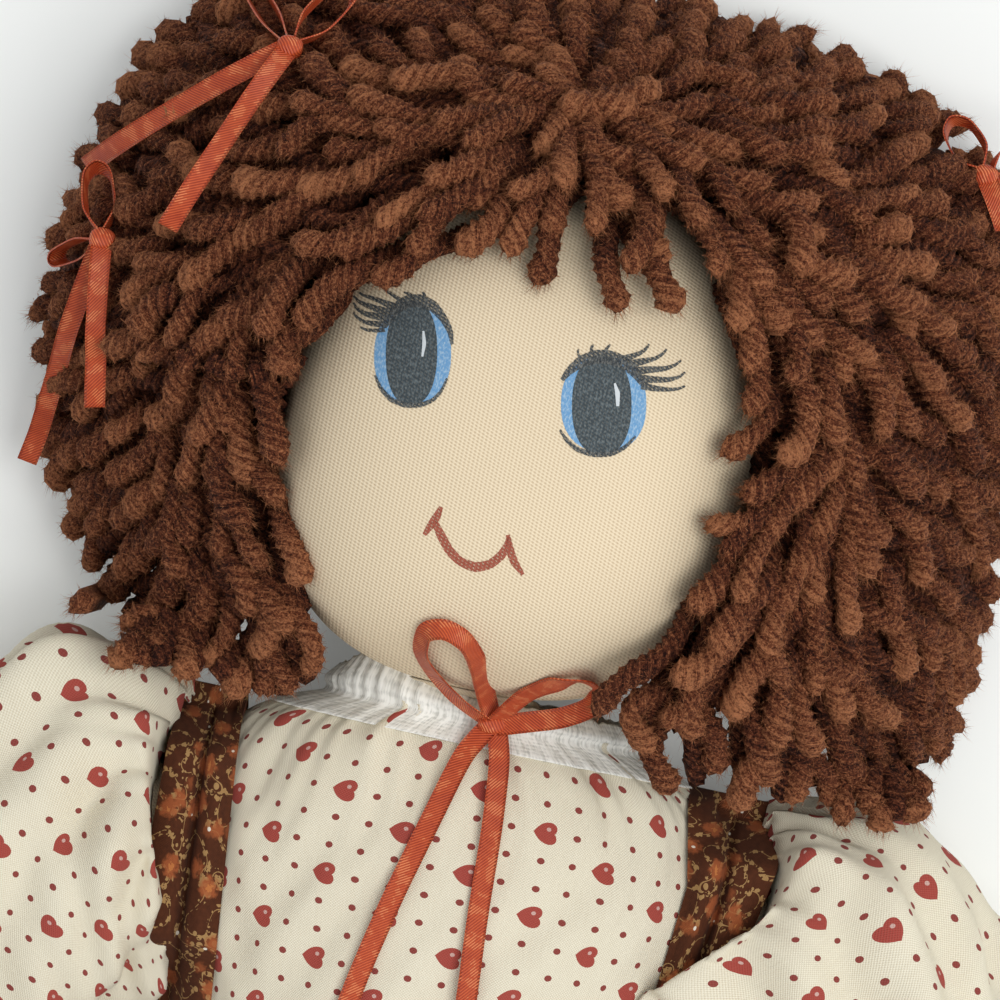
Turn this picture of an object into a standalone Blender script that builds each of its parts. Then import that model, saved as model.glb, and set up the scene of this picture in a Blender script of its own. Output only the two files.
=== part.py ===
"""Rag doll lying on its back: stuffed knit body, thick yarn hair, heart-print dress and calico pinafore.

Metres, +Z up. The doll's front looks up (+Z), its head points to +Y and its own left side is +X.
While it is modelled, Y is zero where the neck leaves the trunk and the floor is at Z zero. The last
function moves the whole doll so that the origin lies under the middle of its box.
"""
import math

import bmesh
import bpy
from mathutils import Matrix, Vector

# Cloth: its thickness, and the air between two layers that lie on each other.
cloth = 0.0010
clearance = 0.0003
layer = cloth + clearance
flat_cut = 0.0005

# Knit cover of the body and limbs.
knit_wall = 0.0010

# Trunk.
torso_length = 0.167
torso_width = 0.126
torso_depth = 0.054
torso_segments = 20
# Share of the length from the neck down, of the half width and of the half depth.
torso_profile_shares = (
    (0.000, 0.26, 0.57),
    (0.020, 0.48, 0.64),
    (0.060, 0.73, 0.80),
    (0.120, 0.92, 0.91),
    (0.210, 1.00, 0.98),
    (0.360, 0.95, 1.00),
    (0.540, 0.87, 1.00),
    (0.640, 0.87, 0.98),
    (0.800, 0.91, 0.96),
    (0.895, 0.90, 0.58),
)
hip_end_width_share = 0.87

# Straight hip seams, the axes of the legs.
hip_seam_radius = 0.0012
hip_seam_length = 0.044
leg_spacing = 0.062

# Neck and head.
neck_length = 0.0042
neck_width = 0.033
neck_depth = 0.027
neck_segments = 16
head_height = 0.1247
head_width = 0.108
head_depth = 0.090
head_lean = 0.006
head_segments = 24
hair_under_head = 0.012
chin_tilt = math.radians(9)
# Share of the height above the opening, half width, half depth, drop of the centre and tilt.
head_profile_shares = (
    (0.000, 0.315, 0.300, 1.00, 1.00),
    (0.026, 0.52, 0.52, 0.64, 0.70),
    (0.082, 0.70, 0.71, 0.30, 0.40),
    (0.202, 0.88, 0.89, 0.06, 0.10),
    (0.362, 0.98, 0.98, 0.00, 0.00),
    (0.487, 1.00, 1.00, 0.00, 0.00),
    (0.643, 0.955, 0.965, 0.00, 0.00),
    (0.788, 0.815, 0.845, 0.00, 0.00),
    (0.900, 0.575, 0.62, 0.00, 0.00),
    (0.972, 0.28, 0.31, 0.00, 0.00),
)
head_widest_share = 0.487
neck_drop = 0.0165
# Height of the point in the soft neck about which the head nods and turns.
neck_pivot_height = 0.0350

# Arms: the armhole is a plane that leans, and the arm bends from its axis towards the feet.
armhole_tilt = math.radians(12)
shoulder_down = 0.038
arm_root_radius = 0.0135
arm_width = 0.034
arm_hang = math.radians(32)
arm_segments = 14
arm_length = 0.156
# Steps along the arm, heading between armhole axis (0) and hanging arm (1), and half width.
arm_step_shares = (0.0, 0.115, 0.128, 0.167, 0.192, 0.167, 0.077, 0.090, 0.064)
arm_heading_shares = (0.0, 0.45, 0.85, 1.0, 1.0, 1.0, 1.0, 1.0, 1.0)
arm_width_shares = (0.80, 0.98, 1.00, 0.94, 0.88, 0.84, 0.98, 1.00, 0.70)
hand_tip = 0.0065

# Puffed sleeves.
sleeve_segments = 32
sleeve_lobes = 8
sleeve_puff = 0.082
sleeve_flatness = 0.76
sleeve_edge_radius = 0.028
sleeve_length = 0.109
# Steps along the sleeve, heading as on the arm, swell from edge to full puff, and depth of gathers.
sleeve_step_shares = (0.0, 0.110, 0.165, 0.202, 0.202, 0.147, 0.101, 0.073)
sleeve_heading_shares = (0.0, 0.32, 0.66, 0.90, 1.0, 1.0, 1.0, 1.0)
sleeve_puff_shares = (0.0, 0.55, 0.95, 1.0, 0.86, 0.50, 0.0, 0.14)
sleeve_gather_shares = (0.10, 0.09, 0.05, 0.03, 0.05, 0.09, 0.02, 0.12)

# Legs.
leg_length = 0.208
thigh_width = 0.047
leg_segments = 14
# Share of the length below the hip seam, of the half width and of the half depth.
leg_profile_shares = (
    (0.082, 0.94, 0.70),
    (0.165, 1.00, 0.97),
    (0.350, 0.97, 0.97),
    (0.560, 0.84, 0.84),
    (0.700, 0.88, 0.88),
    (0.860, 0.80, 0.80),
    (1.000, 0.70, 0.70),
)
hip_end_leg_share = 0.90

# Drawers legs.
drawers_top = 0.036
drawers_elastic = 0.154
drawers_frill = 0.014
drawers_width = 0.058
drawers_segments = 28
drawers_lobes = 7
drawers_taper_share = 0.93
drawers_gather_share = 0.03
drawers_frill_gather_share = 0.10

# Boots: an upright foot, and the cuff that meets the ankle.
boot_height = 0.054
boot_width = 0.034
boot_thickness = 0.027
boot_back = 0.0165
boot_segments = 16
# Share of the height from the heel, of the half width and of the half thickness.
boot_profile_shares = (
    (0.00, 0.62, 0.66),
    (0.12, 0.92, 0.92),
    (0.36, 1.00, 1.00),
    (0.66, 1.00, 0.94),
    (0.88, 0.82, 0.78),
    (0.98, 0.42, 0.42),
)

# Dress: bodice, armholes, neckline and skirt.
bodice_segments = 40
neckline_down = 0.0012
neckline_width = 0.076
neckline_depth = 0.044
waist_down = 0.1060
bodice_gather = 0.0022
bodice_gathers = 12
armhole_clearance = 0.0020
dress_hem_down = 0.300
skirt_width = 0.176
skirt_depth = 0.0700
skirt_segments = 48
skirt_folds = 12
skirt_fold = 0.0045
skirt_gap = 0.0024
# Share of the drop from waist to hem, of the swell to full width and of the fold depth.
skirt_profile_shares = ((0.0, 0.0, 0.10), (0.12, 0.42, 0.35), (0.42, 0.72, 0.70), (1.0, 1.0, 1.0))

# White neck tape.
tape_down = 0.0018
tape_width = 0.0060

# Pinafore: straps, waistband and skirt.
strap_inner = 0.0475
strap_width = 0.0125
waistband_width = 0.0130
waistband_down = 0.0925
pinafore_rise = 0.014

# Ribbon: one width and one weight for every bow.
ribbon_width = 0.0048
ribbon_thickness = 0.0006
knot_size = 0.0062
loop_belly = 0.0040
loop_mouth = 0.0011
loop_points = 9
knot_flatness = 0.7
tail_points = 7
neck_bow_x = 0.0015
# Far ends of the neck bow's loops from its knot, as shares of their reach.
neck_loop_reach = 0.030
neck_loop_shares = (("right", -0.77, 0.26, 1.03), ("left", 0.75, 0.33, 0.77))
# Routes of its tails: share of the trunk's half width across, share of the bodice's length down.
neck_tail_shares = (
    ("right", ((-0.072, 0.151), (-0.103, 0.396), (-0.167, 0.604), (-0.238, 0.854))),
    ("left", ((0.114, 0.151), (0.127, 0.396), (0.140, 0.604), (0.151, 0.854))),
)

# Bows in the hair: knot, ends of the loops and ends of the tails, from the middle of the head and then
# from the knot, as shares of half the hair's width.
hair_bow_shares = (
    ("hair_bow_top_right", (-0.571, 0.606), ((-0.139, 0.121), (0.087, 0.156)),
     ((-0.372, -0.294), (-0.139, -0.398))),
    ("hair_bow_side_right", (-0.848, 0.190), ((-0.009, 0.156), (-0.087, -0.052)),
     ((0.061, -0.329), (-0.087, -0.468))),
    ("hair_bow_top_left", (0.641, 0.554), ((0.104, 0.147), (-0.104, 0.139)),
     ((0.260, -0.190), (0.104, -0.294))),
)

# How far the hair bows are pressed in below the ridges of the yarn.
bow_seat = 0.0003

# Yarn hair, measured from the middle of the head.
hair_width = 0.238
hair_above = 0.109
hair_bottom_up = 0.0065
hair_peak = 0.100
hair_crown_peak = 0.114
hair_rim = 0.013
hair_parting = 0.072
hair_fringe_up = 0.030
hair_back_down = 0.048
hair_locks = 12
hair_lock_depth_share = 0.09
hair_ridge_share = 0.05
hair_fall_power = 0.8
hair_ring_shares = (0.28, 0.52, 0.74, 0.90, 1.0)
overrun = 0.02

# Heights that follow from the sizes above.
body_z = torso_depth / 2 + 2 * layer - flat_cut
head_z = hair_under_head + head_depth / 2
seam_gap = hip_seam_radius + clearance
hip_y = -(torso_length + seam_gap)
head_x = -head_lean
neck_pivot = Vector((head_x / 2, neck_length / 2, neck_pivot_height))
head_y = neck_length + head_widest_share * head_height
pinafore_hem = dress_hem_down - pinafore_rise
foot_y = hip_y - leg_length - clearance - boot_back


def fabric(name, colour, roughness=0.9):
    """A cloth, knit, yarn or ribbon material."""
    material = bpy.data.materials.new(name)
    material.use_nodes = True
    shader = material.node_tree.nodes["Principled BSDF"]
    shader.inputs["Base Color"].default_value = (*colour, 1.0)
    shader.inputs["Roughness"].default_value = roughness
    shader.inputs["Metallic"].default_value = 0.0
    return material


def clear_scene():
    """Take away whatever objects the scene starts with."""
    for thing in list(bpy.data.objects):
        bpy.data.objects.remove(thing, do_unlink=True)


def place(name, bm, material, origin=Vector()):
    """Turn a finished mesh into a named object whose origin lies at the given point."""
    bmesh.ops.recalc_face_normals(bm, faces=bm.faces)
    bm.transform(Matrix.Translation(-origin))
    mesh = bpy.data.meshes.new(name)
    bm.to_mesh(mesh)
    bm.free()
    mesh.shade_smooth()
    mesh.set_sharp_from_angle(angle=math.radians(50))
    piece = bpy.data.objects.new(name, mesh)
    piece.location = origin
    piece.data.materials.append(material)
    bpy.context.collection.objects.link(piece)
    return piece


def ring(centre, across, upward, half_across, half_up, count, gather=None):
    """Points round an ellipse; gather adds an outward swell that depends on the angle."""
    points = []
    for step in range(count):
        angle = 2 * math.pi * step / count
        swell = gather(angle) if gather else 0.0
        points.append(
            centre
            + across * ((half_across + swell) * math.cos(angle))
            + upward * ((half_up + swell) * math.sin(angle))
        )
    return points


def flattened(rings, floor=0.0):
    """The same rings with nothing below the floor, so that they lie flat on it."""
    return [[Vector((p.x, p.y, max(p.z, floor))) for p in points] for points in rings]


def tube(bm, rings):
    """Skin a stack of rings and return their vertices."""
    loops = [[bm.verts.new(point) for point in points] for points in rings]
    for lower, upper in zip(loops, loops[1:]):
        bridge(bm, lower, upper)
    return loops


def bridge(bm, lower, upper):
    """Join two loops of as many vertices with four-sided faces."""
    for step in range(len(lower)):
        after = (step + 1) % len(lower)
        bm.faces.new((lower[step], lower[after], upper[after], upper[step]))


def close(bm, loop, tip=None):
    """Close a loop with one flat face, or with a fan that runs to a tip."""
    if tip is None:
        bm.faces.new(loop)
        return
    top = bm.verts.new(tip)
    for step in range(len(loop)):
        bm.faces.new((loop[step], loop[(step + 1) % len(loop)], top))


def solid(name, rings, material, end_tip=None, origin=Vector()):
    """A filled piece lofted through rings, its first end flat and its last end flat or pointed."""
    bm = bmesh.new()
    loops = tube(bm, rings)
    close(bm, loops[0])
    close(bm, loops[-1], end_tip)
    return place(name, bm, material, origin)


def pocket(name, outer, inner, material, outer_tip=None, inner_tip=None, origin=Vector()):
    """A cover open at its first end: both walls are lofted, and each is closed at its last end."""
    bm = bmesh.new()
    outside = tube(bm, outer)
    inside = tube(bm, inner)
    bridge(bm, outside[0], inside[0])
    close(bm, outside[-1], outer_tip)
    close(bm, inside[-1], inner_tip)
    return place(name, bm, material, origin)


def sleeve_of(name, outer, inner, material, origin=Vector()):
    """A cloth tube open at both ends."""
    bm = bmesh.new()
    outside = tube(bm, outer)
    inside = tube(bm, inner)
    bridge(bm, outside[0], inside[0])
    bridge(bm, outside[-1], inside[-1])
    return place(name, bm, material, origin)


def cut(piece, cutter, operation="DIFFERENCE"):
    """Shape a piece with another object, which the model then leaves out."""
    change = piece.modifiers.new(operation.lower(), "BOOLEAN")
    change.operation = operation
    change.object = cutter
    change.solver = "EXACT"
    cutter.hide_render = True
    cutter.display_type = "WIRE"


def block(name, low, high):
    """A box between two corners, used to cut."""
    bm = bmesh.new()
    bmesh.ops.create_cube(bm, size=1.0)
    size = high - low
    bm.transform(Matrix.Translation((low + high) / 2) @ Matrix.Diagonal((*size, 1.0)))
    mesh = bpy.data.meshes.new(name)
    bm.to_mesh(mesh)
    bm.free()
    cutter = bpy.data.objects.new(name, mesh)
    bpy.context.collection.objects.link(cutter)
    return cutter


def between(table, place_along):
    """Straight-line reading of a table whose rows start with the place along the piece."""
    if place_along <= table[0][0]:
        return table[0][1:]
    for low, high in zip(table, table[1:]):
        if place_along <= high[0]:
            share = (place_along - low[0]) / (high[0] - low[0])
            return tuple(a + (b - a) * share for a, b in zip(low[1:], high[1:]))
    return table[-1][1:]


ACROSS = Vector((1, 0, 0))
UP = Vector((0, 0, 1))


def trunk_table():
    """Rows of distance below the neck, half width and half depth, down to the hip seam."""
    rows = [
        (down * torso_length, width * torso_width / 2, depth * torso_depth / 2)
        for down, width, depth in torso_profile_shares
    ]
    rows.append((torso_length, hip_end_width_share * torso_width / 2, seam_gap))
    return rows


def trunk_rings(rows, inset, count):
    """Cross rings of the trunk, pulled in by the inset."""
    return [
        ring(Vector((0, -down, body_z)), ACROSS, UP, width - inset, depth - inset, count)
        for down, width, depth in rows
    ]


def make_trunk(knit, filling):
    """The trunk: a knit cover open at the neck, its filling, and the two hip seams."""
    rows = trunk_table()
    hollow = rows[:-1]
    pocket("torso_skin", trunk_rings(rows, 0.0, torso_segments),
           trunk_rings(hollow, knit_wall, torso_segments), knit)
    stuffed = [(rows[0][0] + clearance, *rows[0][1:])] + rows[1:-1]
    stuffed[-1] = (stuffed[-1][0] - clearance, *stuffed[-1][1:])
    solid("torso_stuffing", trunk_rings(stuffed, knit_wall + clearance, torso_segments), filling)
    for side, sign in (("left", 1), ("right", -1)):
        middle = Vector((sign * leg_spacing / 2, hip_y, body_z))
        half = ACROSS * (hip_seam_length / 2)
        rings = [
            ring(middle + half * end, Vector((0, 1, 0)), UP, hip_seam_radius, hip_seam_radius, 10)
            for end in (-1, 1)
        ]
        solid("hip_seam_" + side, rings, knit, origin=middle)


def head_rings(inset, count):
    """Cross rings of the head from the neck opening up, pulled in by the inset."""
    rings = []
    for up, width, depth, drop, tilt in head_profile_shares:
        lean = chin_tilt * tilt
        centre = Vector((head_x, neck_length + up * head_height, head_z - drop * neck_drop))
        upward = Vector((0, -math.sin(lean), math.cos(lean)))
        rings.append(ring(centre, ACROSS, upward, width * head_width / 2 - inset,
                          depth * head_depth / 2 - inset, count))
    return rings


def head_top(inset):
    """The point at the top of the head."""
    return Vector((head_x, neck_length + head_height - inset, head_z))


def make_head(knit, filling):
    """The head: a knit cover open at the neck, and its filling."""
    pocket("head_skin", head_rings(0.0, head_segments), head_rings(knit_wall, head_segments),
           knit, head_top(0.0), head_top(knit_wall), neck_pivot)
    inner = knit_wall + clearance
    solid("head_stuffing", head_rings(inner, head_segments), filling, head_top(inner), neck_pivot)


def make_neck(knit):
    """The short stuffed neck between the trunk's opening and the head's."""
    half_width = neck_width / 2
    half_depth = neck_depth / 2
    lower = ring(Vector((0, clearance, body_z)), ACROSS, UP, half_width, half_depth, neck_segments)
    upward = Vector((0, -math.sin(chin_tilt), math.cos(chin_tilt)))
    top = Vector((head_x, neck_length - clearance, head_z - neck_drop))
    upper = ring(top, ACROSS, upward, half_width, half_depth, neck_segments)
    solid("neck_tube", [lower, upper], knit, origin=neck_pivot)


def armhole_axis(sign):
    """The direction out of an armhole."""
    return Vector((sign * math.cos(armhole_tilt), -math.sin(armhole_tilt), 0))


def reach_out(rows, extra, half_height):
    """How far the trunk reaches along the armhole's direction, near the shoulder."""
    furthest = 0.0
    count = 24
    for step in range(count + 1):
        down = shoulder_down + half_height * (2 * step / count - 1)
        width = between(rows, down)[0] + extra
        furthest = max(furthest, math.cos(armhole_tilt) * width + math.sin(armhole_tilt) * down)
    return furthest


def armhole_point(sign, distance):
    """The point on the armhole's axis at a distance along its direction from the neck."""
    out = armhole_axis(sign)
    on_axis = Vector((sign * torso_width / 2, -shoulder_down, body_z))
    return on_axis + out * (distance - on_axis.dot(out))


def arm_path(sign, start, length, step_shares, headings):
    """Centres and directions along an arm that turns from the armhole's axis to hang down."""
    first = -armhole_tilt
    last = arm_hang - math.pi / 2
    centres = []
    spot = start.copy()
    for step, heading in zip(step_shares, headings):
        angle = first + (last - first) * heading
        along = Vector((sign * math.cos(angle), math.sin(angle), 0))
        spot = spot + along * (step * length)
        centres.append((spot.copy(), along))
    return centres


def make_arm(side, sign, knit, filling):
    """One arm: a knit cover with a mitten hand, open at the shoulder, and its filling."""
    rows = trunk_table()
    root = reach_out(rows, 0.0, arm_root_radius + clearance) + clearance
    sleeve_plane = reach_out(rows, 2 * layer, sleeve_edge_radius) + clearance
    start = armhole_point(sign, root)
    knee = armhole_point(sign, sleeve_plane + cloth)
    path = [(start, armhole_axis(sign))] + arm_path(sign, knee, arm_length, arm_step_shares, arm_heading_shares)
    widths = [arm_root_radius] + [share * arm_width / 2 for share in arm_width_shares]
    pivot = armhole_point(sign, sleeve_plane)

    def rings(inset):
        return [
            ring(centre, along.cross(UP), UP, width - inset, width - inset, arm_segments)
            for (centre, along), width in zip(path, widths)
        ]

    last, along = path[-1]
    pocket("arm_skin_" + side, rings(0.0), rings(knit_wall), knit,
           last + along * hand_tip, last + along * (hand_tip - knit_wall), pivot)
    inner = knit_wall + clearance
    stuffed = rings(inner)
    stuffed[0] = [point + path[0][1] * clearance for point in stuffed[0]]
    solid("arm_stuffing_" + side, stuffed, filling, last + along * (hand_tip - inner), pivot)


def make_sleeve(side, sign, print_cloth):
    """One puffed sleeve, gathered into the armhole and again at the wrist."""
    rows = trunk_table()
    sleeve_plane = reach_out(rows, 2 * layer, sleeve_edge_radius) + clearance
    start = armhole_point(sign, sleeve_plane)
    path = arm_path(sign, start, sleeve_length, sleeve_step_shares, sleeve_heading_shares)
    wrist = arm_width / 2 + layer

    def rings(inset):
        stack = []
        for index, ((centre, along), puff, gather) in enumerate(
            zip(path, sleeve_puff_shares, sleeve_gather_shares)
        ):
            base = sleeve_edge_radius if index == 0 else wrist
            flat = 1.0 if index == 0 else sleeve_flatness
            radius = base + (sleeve_puff / 2 - base) * puff
            depth = max(radius * flat, wrist)

            def swell(angle, radius=radius, gather=gather):
                return radius * gather * (1 + math.cos(sleeve_lobes * angle)) / 2

            stack.append(ring(centre, along.cross(UP), UP, radius - inset, depth - inset,
                              sleeve_segments, swell))
        return flattened(stack, inset)

    sleeve_of("sleeve_" + side, rings(0.0), rings(cloth), print_cloth, start)


def leg_table():
    """Rows of distance below the hip axis, half width and half depth."""
    half = thigh_width / 2
    rows = [(seam_gap, hip_end_leg_share * half, seam_gap)]
    rows += [(down * leg_length, width * half, depth * half) for down, width, depth in leg_profile_shares]
    return rows


def leg_rings(rows, x, inset, count):
    """Cross rings of a leg, pulled in by the inset."""
    return [
        ring(Vector((x, hip_y - down, body_z)), ACROSS, UP, width - inset, depth - inset, count)
        for down, width, depth in rows
    ]


def make_leg(side, sign, knit, filling):
    """One leg: a knit cover that is flat at the hip seam and open at the ankle, and its filling."""
    x = sign * leg_spacing / 2
    pivot = Vector((x, hip_y, body_z))
    rows = leg_table()[::-1]
    hollow = rows[:-1]
    pocket("leg_skin_" + side, leg_rings(rows, x, 0.0, leg_segments),
           leg_rings(hollow, x, knit_wall, leg_segments), knit, origin=pivot)
    stuffed = [(rows[0][0] - clearance, *rows[0][1:])] + rows[1:-1]
    stuffed[-1] = (stuffed[-1][0] + clearance, *stuffed[-1][1:])
    solid("leg_stuffing_" + side, leg_rings(stuffed, x, knit_wall + clearance, leg_segments),
          filling, origin=pivot)


def make_drawers_leg(side, sign, cotton):
    """One drawers leg: full at the thigh, drawn in below the knee, with a short frill."""
    x = sign * leg_spacing / 2
    floor = 2 * layer
    rows = leg_table()
    grip = between(rows, drawers_elastic)[0] + clearance + cloth
    half = drawers_width / 2
    full = half - cloth
    stations = (
        (drawers_top, full * drawers_taper_share, drawers_gather_share),
        ((drawers_top + drawers_elastic) / 2, full, drawers_gather_share),
        (drawers_elastic - (drawers_elastic - drawers_top) / 5, full * drawers_taper_share, drawers_gather_share),
        (drawers_elastic, grip, 0.0),
        (drawers_elastic + drawers_frill, (grip + full) / 2, drawers_frill_gather_share),
    )

    def rings(inset):
        stack = []
        for down, radius, gather in stations:

            def swell(angle, radius=radius, gather=gather):
                return radius * gather * (1 + math.cos(drawers_lobes * angle)) / 2

            stack.append(ring(Vector((x, hip_y - down, body_z)), ACROSS, UP, radius - inset,
                              radius - inset, drawers_segments, swell))
        return flattened(stack, floor + inset)

    sleeve_of("drawers_leg_" + side, rings(0.0), rings(cloth), cotton, Vector((x, hip_y, body_z)))


def make_boot(side, sign, felt):
    """One cloth boot: an upright foot joined to the cuff that the ankle is sewn to."""
    x = sign * leg_spacing / 2
    rings = [
        ring(Vector((x, foot_y, share * boot_height)), ACROSS, Vector((0, 1, 0)),
             width * boot_width / 2, thick * boot_thickness / 2, boot_segments)
        for share, width, thick in boot_profile_shares
    ]
    pivot = Vector((x, hip_y, body_z))
    foot = solid("boot_" + side, rings, felt, Vector((x, foot_y, boot_height)), pivot)
    ankle = leg_profile_shares[-1][1] * thigh_width / 2
    top = hip_y - leg_length - clearance
    cuff = [
        ring(Vector((x, y, body_z)), ACROSS, UP, ankle * swell, ankle * swell, boot_segments)
        for y, swell in ((top, 1.0), ((top + foot_y) / 2, 1.04), (foot_y, 0.86))
    ]
    joined = solid("boot_cuff_" + side, cuff, felt)
    cut(foot, joined, "UNION")


def bodice_table():
    """Rows for the bodice: the trunk with one layer over it, and a wide drawn-in neckline."""
    rows = [(neckline_down, neckline_width / 2, neckline_depth / 2)]
    trunk = trunk_table()
    seams = (waistband_down - clearance, waist_down - clearance)
    downs = [row[0] for row in trunk[2:] if row[0] < waist_down and row[0] not in seams]
    for down in sorted((*downs, *seams)):
        width, depth = between(trunk, down)
        rows.append((down, width + layer, depth + layer))
    return rows


def front_gather(down):
    """Outward swell of the gathered front at a distance below the neck."""
    band = waistband_down - clearance
    depth = bodice_gather * math.sqrt(max(0.0, math.sin(math.pi * min(down / band, 1.0))))

    def swell(angle):
        front = max(0.0, (math.sin(angle) - 0.74) / 0.26)
        return depth * front * (1 + math.cos(bodice_gathers * (angle - math.pi / 2))) / 2

    return swell


def bodice_rings(rows, extra, gathered=True):
    """Cross rings of the bodice, let out by extra."""
    return [
        ring(Vector((0, -down, body_z)), ACROSS, UP, width + extra, depth + extra,
             bodice_segments, front_gather(down) if gathered else None)
        for down, width, depth in rows
    ]


def make_bodice(print_cloth):
    """The dress bodice, with an armhole cut for each arm."""
    rows = bodice_table()
    bodice = sleeve_of("dress_bodice", bodice_rings(rows, 0.0), bodice_rings(rows, -cloth), print_cloth)
    for side, sign in (("left", 1), ("right", -1)):
        out = armhole_axis(sign)
        radius = arm_root_radius + armhole_clearance
        rings = [
            ring(armhole_point(sign, distance), out.cross(UP), UP, radius, radius, 16)
            for distance in (strap_inner, strap_inner + torso_width / 2)
        ]
        cut(bodice, solid("armhole_cutter_" + side, rings, print_cloth))


def make_tape(white):
    """The white tape sewn round the neckline."""
    rows = bodice_table()
    ends = (tape_down, tape_down + tape_width)
    table = [(down, *between(rows, down)) for down in ends]
    sleeve_of("neck_tape", bodice_rings(table, layer), bodice_rings(table, clearance), white)


def make_straps(calico):
    """The pinafore straps: what a vertical slab leaves of a layer over the bodice."""
    rows = bodice_table()
    reach = [row for row in rows if row[0] < waistband_down - clearance]
    foot = waistband_down - clearance
    reach.append((foot, *between(rows, foot)))
    top = neckline_down + tape_down + tape_width
    reach = [(top, *between(rows, top))] + [row for row in reach if row[0] > top]
    for side, sign in (("left", 1), ("right", -1)):
        outer = flattened(bodice_rings(reach, layer, False))
        strap = sleeve_of("strap_" + side, outer, bodice_rings(reach, clearance, False), calico)
        near = sign * strap_inner
        far = sign * (strap_inner + strap_width)
        low = Vector((min(near, far), -waist_down - overrun, -overrun))
        high = Vector((max(near, far), overrun, 2 * body_z + overrun))
        cut(strap, block("strap_slab_" + side, low, high), "INTERSECT")


def make_waistband(calico):
    """The band that carries the pinafore's straps and skirt."""
    rows = bodice_table()
    table = [(down, *between(rows, down)) for down in (waistband_down, waistband_down + waistband_width)]
    outer = flattened(bodice_rings(table, layer, False))
    sleeve_of("waistband", outer, bodice_rings(table, clearance, False), calico)


def skirt_stack(top_down, hem_down, top_row, widen, inset, floor):
    """Rings of a gathered skirt from its band to its hem."""
    half_width = skirt_width / 2 + widen
    half_depth = skirt_depth / 2 + widen
    stack = []
    for drop, swell_share, fold_share in skirt_profile_shares:
        down = top_down + (hem_down - top_down) * drop
        width = top_row[0] + (half_width - top_row[0]) * swell_share
        depth = top_row[1] + (half_depth - top_row[1]) * swell_share

        def swell(angle, fold_share=fold_share):
            return skirt_fold * fold_share * (1 + math.cos(skirt_folds * angle)) / 2

        stack.append(ring(Vector((0, -down, body_z)), ACROSS, UP, width - inset, depth - inset,
                          skirt_segments, swell))
    return flattened(stack, floor + inset)


def make_skirts(print_cloth, calico):
    """The dress's skirt, and the shorter pinafore skirt over it."""
    rows = bodice_table()
    waist = between(rows, waist_down)
    sleeve_of("dress_skirt",
              skirt_stack(waist_down, dress_hem_down, waist, -skirt_gap, 0.0, layer),
              skirt_stack(waist_down, dress_hem_down, waist, -skirt_gap, cloth, layer), print_cloth)
    band = (waist[0] + layer, waist[1] + layer)
    sleeve_of("pinafore_skirt",
              skirt_stack(waist_down, pinafore_hem, band, 0.0, 0.0, 0.0),
              skirt_stack(waist_down, pinafore_hem, band, 0.0, cloth, 0.0), calico)


def strip(name, points, sides, satin, origin):
    """A flat ribbon along the points, its width along the side direction at each point."""
    bm = bmesh.new()
    rings = []
    for index, (point, side) in enumerate(zip(points, sides)):
        before = points[max(index - 1, 0)]
        after = points[min(index + 1, len(points) - 1)]
        facing = (after - before).cross(side).normalized() * (ribbon_thickness / 2)
        reach = side.normalized() * (ribbon_width / 2)
        rings.append([point + reach + facing, point - reach + facing,
                      point - reach - facing, point + reach - facing])
    loops = tube(bm, rings)
    close(bm, loops[0])
    close(bm, loops[-1])
    return place(name, bm, satin, origin)


def make_knot(name, knot, satin, origin):
    """The tight knot of a bow, a little flattened."""
    bm = bmesh.new()
    bmesh.ops.create_icosphere(bm, subdivisions=1, radius=knot_size / 2)
    bm.transform(Matrix.Translation(knot) @ Matrix.Diagonal((1.0, 1.0, knot_flatness, 1.0)))
    place(name + "_knot", bm, satin, origin)


def make_loop(name, knot, far, lateral, satin, origin):
    """One open loop of a bow, from the knot out to its far end and back."""
    along = (far - knot).normalized()
    clear = knot_size / 2 + clearance
    length = (far - knot).length - clear
    points = []
    for step in range(loop_points):
        turn = math.pi * step / (loop_points - 1)
        spread = loop_belly * math.sin(2 * turn) + loop_mouth * math.cos(turn)
        points.append(knot + along * (clear + length * math.sin(turn)) + lateral * spread)
    strip(name, points, [along.cross(lateral)] * len(points), satin, origin)


def chest_z(x, down):
    """Height of the dress front over a point of the chest, with its folds."""
    width, depth = between(bodice_table(), down)
    near = max(abs(x) - ribbon_width / 2, 0.0) / (width + bodice_gather)
    return body_z + (depth + bodice_gather) * math.sqrt(1 - near ** 2)


def make_neck_bow(satin):
    """The ribbon bow on the neckline, its loops in front of the chin and its tails on the dress."""
    lie = clearance + ribbon_thickness / 2
    rise = layer + clearance + knot_flatness * knot_size / 2
    knot = Vector((neck_bow_x, -tape_down, chest_z(neck_bow_x, tape_down) + rise))
    make_knot("neck_bow", knot, satin, knot)
    for label, x, y, z in neck_loop_shares:
        far = knot + Vector((x, y, z)) * neck_loop_reach
        lateral = (far - knot).cross(Vector((0, 1, 0))).normalized()
        make_loop("neck_bow_loop_" + label, knot, far, lateral, satin, knot)
    for index, (label, route) in enumerate(neck_tail_shares):
        spots = [(x * torso_width / 2, down * waist_down) for x, down in route]
        points = [Vector((x, -down, chest_z(x, down) + lie)) for x, down in spots]
        outward = (points[0] - knot).normalized() * (knot_size / 2 + clearance)
        over = UP * (index * (clearance + ribbon_thickness))
        points.insert(0, knot + outward + over)
        strip("neck_bow_tail_" + label, points, [ACROSS] * len(points), satin, knot)


def hair_height(x, y, peak):
    """Height of the yarn's surface over a point measured from the middle of the head."""
    half_width = hair_width / 2
    spread = (x / half_width) ** 2 + (y / hair_above) ** 2
    return hair_rim + (peak - hair_rim) * max(0.0, 1 - spread) ** hair_fall_power


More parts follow.
